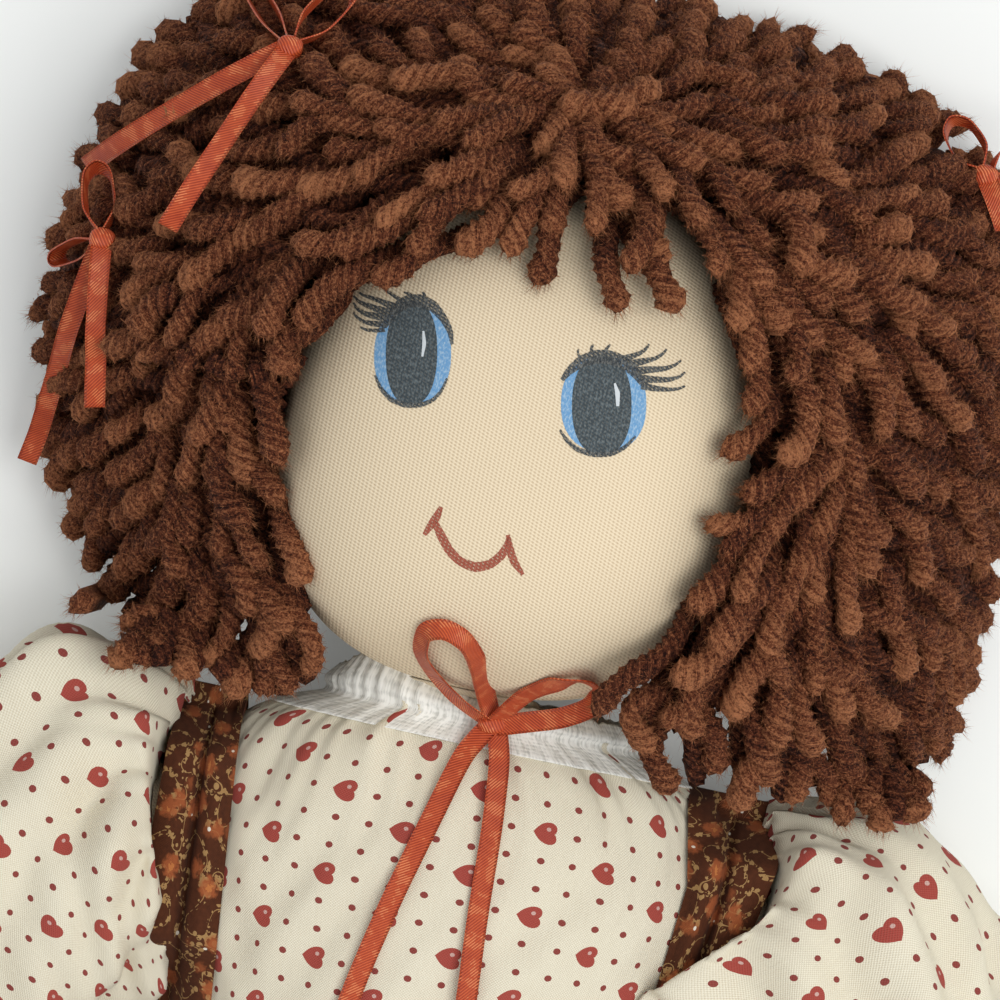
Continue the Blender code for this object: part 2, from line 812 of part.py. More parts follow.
def yarn_mass(name, heart, low, high, peak, yarn):
    """A mass of yarn strands round its own heart: locks fan out to the hair's outline or to its limits.

    The heart and the limits are measured from the middle of the head. Every radius runs from the heart
    to the outline ellipse or to the nearest limit, whichever comes first, so neighbours never meet.
    """
    count = hair_locks * 4
    half_width = hair_width / 2
    reaches = []
    for step in range(count):
        angle = 2 * math.pi * step / count
        dx = math.cos(angle)
        dy = math.sin(angle)
        a = (dx / half_width) ** 2 + (dy / hair_above) ** 2
        b = 2 * (heart.x * dx / half_width ** 2 + heart.y * dy / hair_above ** 2)
        c = (heart.x / half_width) ** 2 + (heart.y / hair_above) ** 2 - 1
        reach = (-b + math.sqrt(b * b - 4 * a * c)) / (2 * a)
        free = True
        for start, direction, least, most in ((heart.x, dx, low.x, high.x), (heart.y, dy, low.y, high.y)):
            limit = (most - start) / direction if direction > 1e-9 else (
                (least - start) / direction if direction < -1e-9 else reach)
            if limit < reach:
                reach = limit
                free = False
        lock = 1 - hair_lock_depth_share * (1 - math.cos(hair_locks * angle)) / 2 if free else 1.0
        reaches.append((dx, dy, reach * lock))
    bm = bmesh.new()
    middle = Vector((head_x, head_y, 0))
    crest = bm.verts.new(middle + heart + UP * hair_height(heart.x, heart.y, peak))
    loops = []
    for share in hair_ring_shares:
        loop = []
        for step, (dx, dy, reach) in enumerate(reaches):
            x = heart.x + dx * reach * share
            y = heart.y + dy * reach * share
            ridge = 1 + hair_ridge_share * share * math.cos(hair_locks * 2 * math.pi * step / count)
            loop.append(bm.verts.new(middle + Vector((x, y, hair_height(x, y, peak) * ridge))))
        loops.append(loop)
    for step in range(count):
        bm.faces.new((loops[0][step], loops[0][(step + 1) % count], crest))
    for lower, upper in zip(loops, loops[1:]):
        bridge(bm, lower, upper)
    foot = [bm.verts.new(Vector((vert.co.x, vert.co.y, 0))) for vert in loops[-1]]
    bridge(bm, loops[-1], foot)
    base = bm.verts.new(middle + heart)
    for step in range(count):
        bm.faces.new((foot[step], foot[(step + 1) % count], base))
    return place(name, bm, yarn, neck_pivot)


def make_hair(yarn):
    """Four masses of yarn round the head, each hollowed by the head that it is sewn to."""
    rings = head_rings(-clearance, head_segments)
    hollow = solid("head_cutter", rings, yarn, head_top(-clearance))
    half_part = hair_parting / 2
    near = half_part + clearance / 2
    inside = half_part - clearance / 2
    edge = hair_width
    bottom = hair_bottom_up - head_y
    masses = (
        ("hair_left", Vector((0.062, 0.030, 0)), Vector((near, bottom, 0)), Vector((edge, edge, 0)), hair_peak),
        ("hair_right", Vector((-0.062, 0.030, 0)), Vector((-edge, bottom, 0)), Vector((-near, edge, 0)), hair_peak),
        ("hair_crown", Vector((0, 0.062, 0)), Vector((-inside, hair_fringe_up, 0)),
         Vector((inside, edge, 0)), hair_crown_peak),
        ("hair_back", Vector((0, -0.008, 0)), Vector((-inside, -hair_back_down, 0)),
         Vector((inside, hair_fringe_up - clearance, 0)), head_z),
    )
    for name, heart, low, high, peak in masses:
        cut(yarn_mass(name, heart, low, high, peak, yarn), hollow)


def hair_surface(x, y, lift):
    """A point at a height above the ridges of the yarn, and the way the yarn faces there."""
    ridge = 1 + hair_ridge_share
    small = ribbon_width / 2
    rise = hair_height(x, y, hair_peak) * ridge
    slope_x = hair_height(x + small, y, hair_peak) * ridge - rise
    slope_y = hair_height(x, y + small, hair_peak) * ridge - rise
    facing = Vector((-slope_x, -slope_y, small)).normalized()
    return Vector((head_x + x, head_y + y, rise)) + facing * (lift - bow_seat), facing


def make_hair_bows(satin):
    """Ribbon bows tied in the yarn: two on the doll's right side, one on its left."""
    lie = clearance + ribbon_thickness / 2
    half = hair_width / 2
    for name, place_shares, loop_ends, tail_ends in hair_bow_shares:
        x, y = (share * half for share in place_shares)
        knot, facing = hair_surface(x, y, knot_size / 2 + clearance)
        make_knot(name, knot, satin, neck_pivot)
        for label, (dx, dy) in zip(("a", "b"), loop_ends):
            far = hair_surface(x + dx * half, y + dy * half, knot_size)[0]
            lateral = (far - knot).cross(facing).normalized()
            make_loop(name + "_loop_" + label, knot, far, lateral, satin, neck_pivot)
        for index, (label, (dx, dy)) in enumerate(zip(("a", "b"), tail_ends)):
            over = index * (clearance + ribbon_thickness)
            shares = [(step + 1) / tail_points for step in range(tail_points)]
            route = [hair_surface(x + dx * share * half, y + dy * share * half, lie + over)
                     for share in shares]
            points = [point for point, normal in route]
            outward = (points[0] - knot).normalized()
            points.insert(0, knot + outward * (knot_size / 2 + clearance) + facing * over)
            faces = [facing] + [normal for point, normal in route]
            run = points[-1] - points[0]
            strip(name + "_tail_" + label, points, [run.cross(normal) for normal in faces], satin, neck_pivot)


def centre_on_origin():
    """Move the whole doll so that the origin lies under the middle of its box."""
    bpy.context.view_layer.update()
    low = Vector((math.inf, math.inf, 0))
    high = Vector((-math.inf, -math.inf, 0))
    graph = bpy.context.evaluated_depsgraph_get()
    shown = [thing for thing in bpy.data.objects if not thing.hide_render]
    for thing in shown:
        evaluated = thing.evaluated_get(graph)
        for vertex in evaluated.data.vertices:
            spot = evaluated.matrix_world @ vertex.co
            low.x, low.y = min(low.x, spot.x), min(low.y, spot.y)
            high.x, high.y = max(high.x, spot.x), max(high.y, spot.y)
    shift = (low + high) / -2
    holder = bpy.data.objects.new("doll", None)
    bpy.context.collection.objects.link(holder)
    for thing in list(bpy.data.objects):
        if thing is not holder:
            thing.parent = holder
    holder.location = shift


def main():
    """Build the doll."""
    clear_scene()
    knit = fabric("knit", (0.86, 0.66, 0.50))
    filling = fabric("filling", (0.93, 0.93, 0.90), 1.0)
    print_cloth = fabric("heart_print", (0.88, 0.84, 0.72))
    calico = fabric("calico", (0.17, 0.06, 0.03))
    white = fabric("white_tape", (0.90, 0.90, 0.88))
    cotton = fabric("white_cotton", (0.90, 0.88, 0.84))
    felt = fabric("boot_cloth", (0.08, 0.04, 0.03))
    yarn = fabric("yarn", (0.25, 0.08, 0.04), 1.0)
    satin = fabric("ribbon", (0.55, 0.10, 0.04), 0.4)
    make_trunk(knit, filling)
    make_neck(knit)
    make_head(knit, filling)
    make_hair(yarn)
    make_hair_bows(satin)
    make_bodice(print_cloth)
    make_tape(white)
    make_straps(calico)
    make_waistband(calico)
    make_skirts(print_cloth, calico)
    make_neck_bow(satin)
    for side, sign in (("left", 1), ("right", -1)):
        make_arm(side, sign, knit, filling)
        make_sleeve(side, sign, print_cloth)
        make_leg(side, sign, knit, filling)
        make_drawers_leg(side, sign, cotton)
        make_boot(side, sign, felt)
    centre_on_origin()


main()
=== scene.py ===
"""A stuffed rag doll on its back: knit body, thick yarn hair, heart-print dress and calico pinafore."""

import math

import bpy
import numpy as np
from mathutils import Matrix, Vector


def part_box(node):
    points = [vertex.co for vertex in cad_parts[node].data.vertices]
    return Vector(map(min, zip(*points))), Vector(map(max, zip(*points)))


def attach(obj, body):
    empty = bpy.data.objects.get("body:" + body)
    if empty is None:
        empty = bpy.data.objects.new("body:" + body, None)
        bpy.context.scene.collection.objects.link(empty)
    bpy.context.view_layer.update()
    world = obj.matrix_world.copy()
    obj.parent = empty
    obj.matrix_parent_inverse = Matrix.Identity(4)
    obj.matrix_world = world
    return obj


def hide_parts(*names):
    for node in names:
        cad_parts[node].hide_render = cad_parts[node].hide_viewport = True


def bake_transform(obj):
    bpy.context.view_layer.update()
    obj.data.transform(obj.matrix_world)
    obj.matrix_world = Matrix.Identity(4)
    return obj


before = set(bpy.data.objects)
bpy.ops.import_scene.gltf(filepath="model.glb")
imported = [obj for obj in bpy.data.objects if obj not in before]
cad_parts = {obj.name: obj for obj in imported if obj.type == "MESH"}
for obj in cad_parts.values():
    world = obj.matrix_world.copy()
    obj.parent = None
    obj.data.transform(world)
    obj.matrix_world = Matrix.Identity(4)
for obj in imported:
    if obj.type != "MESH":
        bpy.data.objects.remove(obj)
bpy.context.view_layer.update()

# Head. A stuffed pillow of fine peach knit, fuller at the cheeks and drawn in at the neck. The knit's
# columns run from chin to crown, and the whole skin is one bag that is turned and filled.
neck_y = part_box("torso_skin")[1][1]
trunk_z = sum(point[2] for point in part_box("hip_seam_left")) / 2
head_low, head_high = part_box("head_skin")
head_x = (head_low[0] + head_high[0]) / 2
head_above_neck = 0.0648
head_y = neck_y + head_above_neck
head_z = (head_low[2] + head_high[2]) / 2
head_half = 0.0545
head_up = 0.0635
head_down = 0.0608
head_deep = 0.0452
chin_drop = 0.014
cheek = 2.3
jaw = 2.6
knit_column = 0.00092
knit_row = 0.00074


def build_mesh(name, points, faces, material, uv=None, tone=None):
    """Make an object from points and faces; uv has a pair for each face corner, tone a value a point."""
    mesh = bpy.data.meshes.new(name)
    mesh.from_pydata(np.asarray(points, float).reshape(-1, 3).tolist(), [], faces)
    mesh.shade_smooth()
    if uv is not None:
        layer = mesh.uv_layers.new(name="cloth")
        layer.data.foreach_set("uv", np.asarray(uv, np.float32).ravel())
    if tone is not None:
        attribute = mesh.attributes.new("tone", "FLOAT", "POINT")
        attribute.data.foreach_set("value", np.asarray(tone, np.float32).ravel())
    mesh.materials.append(material)
    made = bpy.data.objects.new(name, mesh)
    bpy.context.collection.objects.link(made)
    return made


def sheet_faces(rows, cols, first=0):
    """Four-sided faces between neighbouring rows of points, in columns, as an array of corner numbers."""
    grid = first + np.arange(rows * cols).reshape(rows, cols)
    return np.stack([grid[:-1, :-1], grid[:-1, 1:], grid[1:, 1:], grid[1:, :-1]], -1).reshape(-1, 4)


def tube_faces(rows, cols, first=0):
    """As for a sheet, with the last column joined to the first."""
    grid = first + np.arange(rows * cols).reshape(rows, cols)
    grid = np.concatenate([grid, grid[:, :1]], axis=1)
    return np.stack([grid[:-1, :-1], grid[:-1, 1:], grid[1:, 1:], grid[1:, :-1]], -1).reshape(-1, 4)


def arc_uv(points, wrap):
    """Cloth coordinates in metres: the mean distance round each ring, and the mean distance between rings."""
    looped = np.concatenate([points, points[:, :1]], axis=1) if wrap else points
    across = np.linalg.norm(np.diff(looped, axis=1), axis=2)
    across = np.concatenate([[0], np.cumsum(across.mean(0))])
    along = np.linalg.norm(np.diff(looped, axis=0), axis=2)
    along = np.concatenate([[0], np.cumsum(along.mean(1))])
    return np.stack(np.meshgrid(across, along), -1)


def corner_uv(uv):
    """The uv of every face corner, in the order in which the faces are made."""
    return np.stack([uv[:-1, :-1], uv[:-1, 1:], uv[1:, 1:], uv[1:, :-1]], 2).reshape(-1, 2)


def closed_form(name, points, material, uv=None):
    """A closed piece from rings of points: the first and last ring are drawn together at a point."""
    rows, cols = points.shape[:2]
    uv = arc_uv(points, True) if uv is None else uv
    faces = tube_faces(rows, cols).tolist()
    corners = corner_uv(uv)
    ends = np.stack([points[0].mean(0), points[-1].mean(0)])
    first = np.arange(cols)
    after = (first + 1) % cols
    low = np.stack([after, first, np.full(cols, rows * cols)], 1)
    top = (rows - 1) * cols
    high = np.stack([top + first, top + after, np.full(cols, rows * cols + 1)], 1)
    low_uv = np.stack([uv[0, 1:], uv[0, :-1], (uv[0, 1:] + uv[0, :-1]) / 2], 1).reshape(-1, 2)
    high_uv = np.stack([uv[-1, :-1], uv[-1, 1:], (uv[-1, 1:] + uv[-1, :-1]) / 2], 1).reshape(-1, 2)
    everything = np.concatenate([points.reshape(-1, 3), ends])
    return build_mesh(name, everything, faces + low.tolist() + high.tolist(), material,
                      np.concatenate([corners, low_uv, high_uv]))


def add_node(tree, kind, inputs=(), **settings):
    """Add a shader node, set its options and feed its sockets from numbers or from other sockets."""
    new = tree.nodes.new(kind)
    for key, value in settings.items():
        setattr(new, key, value)
    for place, value in dict(inputs).items():
        if isinstance(value, bpy.types.NodeSocket):
            tree.links.new(value, new.inputs[place])
        else:
            new.inputs[place].default_value = value
    return new


def sums(tree, operation, *values):
    """One sum of two or three numbers or sockets, as a socket."""
    made = add_node(tree, "ShaderNodeMath", dict(enumerate(values)), operation=operation)
    return made.outputs[0]


def mixed(tree, share, first, second):
    """A colour between two colours, as a socket."""
    made = add_node(tree, "ShaderNodeMix", {0: share, 6: first, 7: second}, data_type="RGBA")
    return made.outputs[2]


def cloth_material(name, roughness, sheen=0.0):
    """A new material: its node tree and its shader."""
    material = bpy.data.materials.new(name)
    material.use_nodes = True
    tree = material.node_tree
    shader = tree.nodes["Principled BSDF"]
    shader.inputs["Roughness"].default_value = roughness
    shader.inputs["Sheen Weight"].default_value = sheen
    shader.inputs["Sheen Roughness"].default_value = 0.5
    shader.inputs["Specular IOR Level"].default_value = 0.12
    return material, tree, shader


def noise(tree, place, scale, detail=2.0, roughness=0.5):
    """A noise texture at a place given by a socket."""
    return add_node(tree, "ShaderNodeTexNoise",
                    {"Vector": place, "Scale": scale, "Detail": detail, "Roughness": roughness})


def raise_bumps(tree, shader, height, strength, distance):
    """Let a height in a socket roughen the shader's normal."""
    bump = add_node(tree, "ShaderNodeBump", {"Strength": strength, "Distance": distance, "Height": height})
    tree.links.new(bump.outputs[0], shader.inputs["Normal"])


def knit_group():
    """Shared effect: columns of small knit loops, as a height from a place in metres."""
    group = bpy.data.node_groups.new("knit_loops", "ShaderNodeTree")
    group.interface.new_socket("Place", in_out="INPUT", socket_type="NodeSocketVector")
    group.interface.new_socket("Height", in_out="OUTPUT", socket_type="NodeSocketFloat")
    start = group.nodes.new("NodeGroupInput")
    end = group.nodes.new("NodeGroupOutput")
    parts = add_node(group, "ShaderNodeSeparateXYZ", {0: start.outputs[0]})
    column = sums(group, "MULTIPLY", parts.outputs[0], 2 * math.pi / knit_column)
    row = sums(group, "MULTIPLY", parts.outputs[1], 2 * math.pi / knit_row)
    leaning = sums(group, "MULTIPLY_ADD", column, 0.5, row)
    ribs = sums(group, "COSINE", column)
    loops = sums(group, "COSINE", leaning)
    height = sums(group, "MULTIPLY_ADD", loops, 0.6, sums(group, "MULTIPLY", ribs, 0.4))
    group.links.new(sums(group, "MULTIPLY_ADD", height, 0.5, 0.5), end.inputs[0])
    return group


knit_loops = knit_group()


def knit_material(name, colour, by_place):
    """Fine peach knit; the pattern follows the place in the doll, or the cloth's own coordinates. The low
    places between the loops take a darker, warmer colour: painted shade in the knit's gaps.
    """
    material, tree, shader = cloth_material(name, 0.9, sheen=0.03)
    coords = add_node(tree, "ShaderNodeTexCoord")
    place = coords.outputs["Object"] if by_place else coords.outputs["UV"]
    loops = add_node(tree, "ShaderNodeGroup", node_tree=knit_loops)
    tree.links.new(place, loops.inputs[0])
    cloud = noise(tree, coords.outputs["Object"], 35.0, 3.0)
    # Colour of the gaps between the loops: painted shade, mixed in where the loop height is low.
    dark = (0.60 * colour[0], 0.53 * colour[1], 0.46 * colour[2], 1)
    tint = mixed(tree, cloud.outputs[0], colour, tuple(0.93 * part for part in colour[:3]) + (1,))
    base = mixed(tree, sums(tree, "MULTIPLY_ADD", loops.outputs[0], -1.25, 0.84), tint, dark)
    tree.links.new(base, shader.inputs["Base Color"])
    raise_bumps(tree, shader, loops.outputs[0], 0.6, 0.00026)
    return material


def head_half_sizes(y):
    """Half width and half depth of the head at a height: a rounder curve above, a squarer one below."""
    rise = np.clip((y - head_y) / head_up, 0, 1)
    fall = np.clip((head_y - y) / head_down, 0, 1)
    share = np.where(y > head_y, np.sqrt(1 - rise ** 2), (1 - fall ** jaw) ** (1 / jaw))
    return head_half * share, head_deep * share


def head_middle(y):
    """Height of the head's middle line: it drops towards the neck."""
    fall = np.clip((head_y - y) / head_down, 0, 1)
    return head_z - chin_drop * fall ** 6


def head_front(x, y, lift=0.0):
    """Height of the face over a point: a superellipse across the head at that place, plus a lift."""
    half, deep = head_half_sizes(y)
    side = np.clip(np.abs(x - head_x) / np.maximum(half, 1e-5), 0, 1)
    return head_middle(y) + deep * (1 - side ** cheek) ** (1 / cheek) + lift


turn = np.linspace(0, 2 * np.pi, 96, endpoint=False)
latitude = np.linspace(-0.5 * np.pi * 0.93, 0.5 * np.pi * 0.985, 90)
rows_y = head_y + np.where(latitude > 0, head_up, head_down) * np.sin(latitude)
half, deep = head_half_sizes(rows_y)
round_x = np.sign(np.cos(turn)) * np.abs(np.cos(turn)) ** (2 / cheek)
round_z = np.sign(np.sin(turn)) * np.abs(np.sin(turn)) ** (2 / cheek)
head_points = np.stack([
    head_x + half[:, None] * round_x,
    np.repeat(rows_y[:, None], len(turn), 1),
    head_middle(rows_y)[:, None] + deep[:, None] * round_z,
], -1)
skin = (0.90, 0.755, 0.535, 1)
face_knit = knit_material("face_knit", skin, True)
head_skin = closed_form("head_skin_soft", head_points[:, ::-1], face_knit)
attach(head_skin, "head")
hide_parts("head_skin", "head_stuffing")

# Face. Eyes, lashes and mouth are printed on the knit, so the loops show through the ink. Each printed
# mark lies on the face itself; its outline is measured on the photograph of 1000 by 1000 pixels.
pixel = 0.00022
print_lift = 0.00005
photo_middle = (500, 425)
photo_roll = 12
lean_cos = 0.978
lean_sin = 0.208
face_shift = -0.005
eye_lean = 0.20
oval_power = 0.87


def photo_to_face(px, py):
    """Place on the face of a pixel of the photograph: turned by 12 degrees and scaled to metres."""
    dx = np.asarray(px, float) - photo_middle[0]
    dy = np.asarray(py, float) - photo_middle[1]
    x = head_x + face_shift + (lean_cos * dx + lean_sin * dy) * pixel
    y = head_y + (lean_sin * dx - lean_cos * dy) * pixel
    return x, y


def print_material(name, ink, second, streaks, broken=False):
    """Ink on the knit: the second colour shows in streaks, and the loops break the ink up."""
    material, tree, shader = cloth_material(name, 0.85, sheen=0.03)
    coords = add_node(tree, "ShaderNodeTexCoord")
    loops = add_node(tree, "ShaderNodeGroup", {0: coords.outputs["Object"]}, node_tree=knit_loops)
    stretch = add_node(tree, "ShaderNodeMapping", {0: coords.outputs["Object"], 3: (2300.0, 1100.0, 1.0)})
    mottle = noise(tree, stretch.outputs[0], 1.0)
    share = add_node(tree, "ShaderNodeMapRange", {0: mottle.outputs[0], 1: 0.45, 2: 0.7, 3: 0.0, 4: streaks})
    base = mixed(tree, share.outputs[0], ink, second)
    bare = add_node(tree, "ShaderNodeMapRange", {0: loops.outputs[0], 1: 0.5, 2: 1.0, 3: 0.0, 4: 0.07})
    tree.links.new(mixed(tree, bare.outputs[0], base, skin), shader.inputs["Base Color"])
    if broken:
        soft = sums(tree, "MULTIPLY_ADD", loops.outputs[0], -0.8, mottle.outputs[0])
        thin = add_node(tree, "ShaderNodeMapRange", {0: soft, 1: -0.25, 2: 0.10, 3: 0.35, 4: 1.0})
        tree.links.new(thin.outputs[0], shader.inputs["Alpha"])
    raise_bumps(tree, shader, loops.outputs[0], 0.35, 0.00012)
    return material


def printed_patch(name, centre, half_wide, half_high, lean, material, layer):
    """A printed oval: rings of points round its centre, leaning by an angle, laid on the face."""
    angle = np.linspace(0, 2 * np.pi, 48, endpoint=False)
    reach = np.linspace(1, 0.04, 12)[:, None]
    across = half_wide * reach * np.sign(np.cos(angle)) * np.abs(np.cos(angle)) ** oval_power
    upward = half_high * reach * np.sign(np.sin(angle)) * np.abs(np.sin(angle)) ** oval_power
    cx, cy = photo_to_face(*centre)
    x = cx + across * math.cos(lean) - upward * math.sin(lean)
    y = cy + across * math.sin(lean) + upward * math.cos(lean)
    points = np.stack([x, y, head_front(x, y, print_lift * layer)], -1)
    rows, cols = points.shape[:2]
    faces = tube_faces(rows, cols).tolist() + [list(range((rows - 1) * cols, rows * cols))]
    patch = build_mesh(name, points, faces, material)
    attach(patch, "head")
    return patch


def printed_line(name, strokes, material, layer):
    """Printed strokes: each runs smoothly through its pixels, with a width in pixels at each of them."""
    points = []
    faces = []
    for stroke in strokes:
        stroke = np.asarray(stroke, float)
        along = np.linspace(0, len(stroke) - 1, 8 * len(stroke))
        px, py, wide = (np.interp(along, np.arange(len(stroke)), stroke[:, k]) for k in range(3))
        smooth = np.array([0.25, 0.5, 0.25])
        for repeat in range(6):
            px[1:-1] = np.convolve(px, smooth, "valid")
            py[1:-1] = np.convolve(py, smooth, "valid")
        x, y = photo_to_face(px, py)
        run = np.stack([np.gradient(x), np.gradient(y)], -1)
        run /= np.linalg.norm(run, axis=1, keepdims=True)
        side = np.stack([-run[:, 1], run[:, 0]], -1) * (wide * pixel / 2)[:, None]
        edge_x = np.stack([x + side[:, 0], x - side[:, 0]], -1)
        edge_y = np.stack([y + side[:, 1], y - side[:, 1]], -1)
        strip = np.stack([edge_x, edge_y, head_front(edge_x, edge_y, print_lift * layer)], -1)
        faces += sheet_faces(len(x), 2, 2 * sum(len(done) for done in points)).tolist()
        points.append(strip)
    mark = build_mesh(name, np.concatenate(points), [face[::-1] for face in faces], material)
    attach(mark, "head")
    return mark


blue_ink = print_material("blue_ink", (0.15, 0.33, 0.56, 1), (0.38, 0.54, 0.68, 1), 0.9)
dark_ink = print_material("dark_ink", (0.050, 0.064, 0.072, 1), (0.15, 0.18, 0.19, 1), 0.8)
soft_ink = print_material("soft_ink", (0.050, 0.058, 0.064, 1), (0.22, 0.22, 0.20, 1), 0.8, broken=True)
white_ink = print_material("white_ink", (0.62, 0.66, 0.68, 1), (0.70, 0.72, 0.72, 1), 0.5)
rose_ink = print_material("rose_ink", (0.32, 0.078, 0.048, 1), (0.46, 0.15, 0.10, 1), 0.7, broken=True)
for label, iris, pupil in (("right", ((412, 354), 39, 49), ((411, 352), 26, 53)),
                           ("left", ((604, 404), 43, 48), ((602, 405), 30, 50))):
    printed_patch("iris_" + label, iris[0], iris[1] * pixel, iris[2] * pixel, eye_lean, blue_ink, 1)
    printed_patch("pupil_" + label, pupil[0], pupil[1] * pixel, pupil[2] * pixel, eye_lean, dark_ink, 2)
lids = (
    ((384, 326, 3), (389, 316, 8), (397, 305, 12), (408, 299, 13), (420, 299, 13), (433, 305, 11),
     (443, 317, 8), (450, 330, 6), (452, 344, 3)),
    ((374, 374, 2), (380, 388, 4), (390, 399, 5), (404, 405, 5), (420, 405, 5), (433, 400, 4), (442, 390, 3),
     (447, 378, 2)),
    ((562, 380, 4), (570, 370, 8), (582, 361, 12), (597, 356, 14), (612, 357, 14), (626, 363, 13),
     (637, 373, 10), (645, 386, 5)),
    ((560, 430, 2), (567, 441, 4), (578, 450, 5), (594, 455, 5), (612, 454, 5), (626, 447, 4), (636, 436, 2)),
)
printed_line("lids", lids, soft_ink, 3)
lashes = [
    ((396, 306, 8), (382, 300, 6), (370, 295, 4), (361, 292, 3), (357, 289, 2)),
    ((392, 311, 8), (376, 307, 7), (364, 302, 5), (356, 298, 3), (351, 292, 2)),
    ((388, 317, 8), (374, 314, 7), (362, 311, 5), (354, 305, 3), (351, 299, 2)),
    ((386, 323, 7), (374, 322, 6), (363, 320, 4), (355, 315, 3), (351, 309, 2)),
    ((384, 328, 5), (375, 329, 4), (365, 328, 3), (358, 325, 2)),
    ((404, 301, 6), (396, 296, 4), (388, 290, 3), (383, 287, 2)),
    ((413, 297, 4), (409, 292, 3), (403, 290, 2)),
    ((424, 298, 4), (424, 293, 3), (422, 290, 2)),
    ((618, 360, 8), (632, 356, 6), (642, 352, 4), (648, 347, 3), (650, 343, 2)),
    ((626, 365, 9), (642, 361, 7), (656, 358, 4), (664, 353, 3), (668, 348, 2)),
    ((633, 371, 9), (650, 369, 7), (666, 368, 5), (677, 364, 3), (683, 359, 2)),
    ((638, 378, 9), (654, 379, 7), (670, 379, 5), (681, 376, 3), (687, 371, 2)),
    ((642, 385, 8), (656, 388, 6), (670, 389, 4), (680, 388, 3), (687, 385, 2)),
    ((604, 354, 4), (607, 348, 3), (611, 344, 2)),
    ((592, 353, 4), (592, 347, 3), (594, 344, 2)),
    ((580, 357, 3), (578, 352, 2), (579, 349, 2)),
]
printed_line("lashes", lashes, soft_ink, 3)
glints = (
    ((423, 330, 2), (424, 343, 4), (422, 356, 2)),
    ((615, 383, 2), (618, 393, 5), (618, 406, 3)),
)
printed_line("glints", glints, white_ink, 4)
mouth = (
    ((424, 535, 4), (431, 525, 8), (437, 516, 8), (441, 507, 4)),
    ((434, 521, 6), (441, 536, 9), (449, 551, 9), (460, 562, 9), (475, 568, 10), (490, 565, 9), (501, 556, 9),
     (507, 547, 8), (509, 537, 4)),
    ((508, 535, 4), (510, 550, 8), (514, 562, 8), (523, 575, 4)),
)
printed_line("mouth", mouth, rose_ink, 1)

# Hair. Strands of thick plied yarn are stitched on along a seam over the crown and fall over each
# other like shingles: forward as a fringe, down both sides, and back over the crown to the table.
hair_half = np.array([0.1180, 0.1085])
hair_rim = 0.013
hair_peak = 0.103
strand_radius = 0.0030
fibre_radius = 0.00007
plies = 4
ply_turn = 0.0104
chance = np.random.default_rng(7)


def hair_spread(x, y):
    """0 over the middle of the head and 1 on the hair's outline: a squarish oval, cut in low on the right."""
    across = np.abs(x - head_x) / hair_half[0]
    upward = np.abs(y - head_y) / hair_half[1]
    low_right = np.where((x < head_x) & (y < head_y), 0.6 * across * upward, 0)
    square = np.where((x < head_x) & (y < head_y), 2.4, 3.1)
    return across ** square + upward ** square + low_right


def hair_top(x, y):
    """Height of the hair over a place: a rim, and above it a dome that is fullest over the crown."""
    crown = np.exp(-(((x - head_x) / 0.045) ** 2 + ((y - head_y - 0.055) / 0.04) ** 2))
    peak = hair_peak + 0.007 * crown - hair_rim
    return hair_rim + peak * np.clip(1 - hair_spread(x, y), 0, 1) ** 0.8


def hair_flow(x, y):
    """The way the strands fall: away from the seam over the crown, and along the cheeks near the face."""
    x = x - head_x
    y = y - head_y
    seam = 0.074 - 3.0 * x ** 2
    away = np.stack([0.70 * x, y - seam], -1)
    away /= np.linalg.norm(away, axis=-1, keepdims=True) + 1e-9
    half_here = head_half_sizes(y + head_y)[0]
    outside = np.abs(x) - half_here
    near = np.exp(-(np.clip(outside, 0, 1) / 0.020) ** 2) * np.clip((0.025 - y) / 0.03, 0, 1)
    inward = 0.30 + 0.75 * np.clip(-y / 0.055, 0, 1) ** 1.5
    along = np.stack([-np.sign(x) * inward, -np.ones_like(y)], -1)
    along /= np.linalg.norm(along, axis=-1, keepdims=True)
    flow = away * (1 - near[..., None]) + along * near[..., None]
    lock = 1.6 * np.exp(-((x - 0.046) / 0.012) ** 2 - ((y - 0.004) / 0.012) ** 2)
    flow = flow + lock[..., None] * np.array([-0.85, -0.5])
    return flow / (np.linalg.norm(flow, axis=-1, keepdims=True) + 1e-9)


def spread_tips(wanted, spacing, allowed):
    """Ends of strands, scattered over the dome no nearer to each other than the spacing."""
    spots = np.array([head_x, head_y]) + 2.2 * (chance.random((wanted, 2)) - 0.5) * hair_half
    spots = spots[allowed(spots[:, 0], spots[:, 1])]
    places = np.concatenate([spots, hair_top(spots[:, 0], spots[:, 1])[:, None]], axis=1)
    chosen = np.zeros((0, 3))
    for place in places:
        if len(chosen) == 0 or np.linalg.norm(chosen - place, axis=1).min() > spacing:
            chosen = np.concatenate([chosen, place[None]])
    return chosen


def strand_paths(tips, lengths, wobble, steps):
    """Centre lines from root to tip: traced back from the tip against the flow, with a bend of their own."""
    count = len(tips)
    swing = chance.normal(0, wobble, count)
    curl = chance.normal(0, 0.75, count)
    wave = chance.normal(0, 0.22, count)
    phase = chance.uniform(0, 2 * np.pi, count)
    path = np.zeros((steps, count, 3))
    spot = tips[:, :2].copy()
    step_length = lengths / (steps - 1)
    for step in range(steps - 1, -1, -1):
        share = step / (steps - 1)
        path[step, :, :2] = spot
        flow = hair_flow(spot[:, 0], spot[:, 1])
        angle = swing + curl * (share - 0.5) + wave * np.sin(9 * share + phase)
        turned = np.stack([flow[:, 0] * np.cos(angle) - flow[:, 1] * np.sin(angle),
                           flow[:, 0] * np.sin(angle) + flow[:, 1] * np.cos(angle)], -1)
        slope = hair_top(*(spot.T + 0.5e-3 * turned.T)) - hair_top(*(spot.T - 0.5e-3 * turned.T))
        spot = spot - turned * (step_length / np.sqrt(1 + (slope / 1e-3) ** 2))[:, None]
    return path


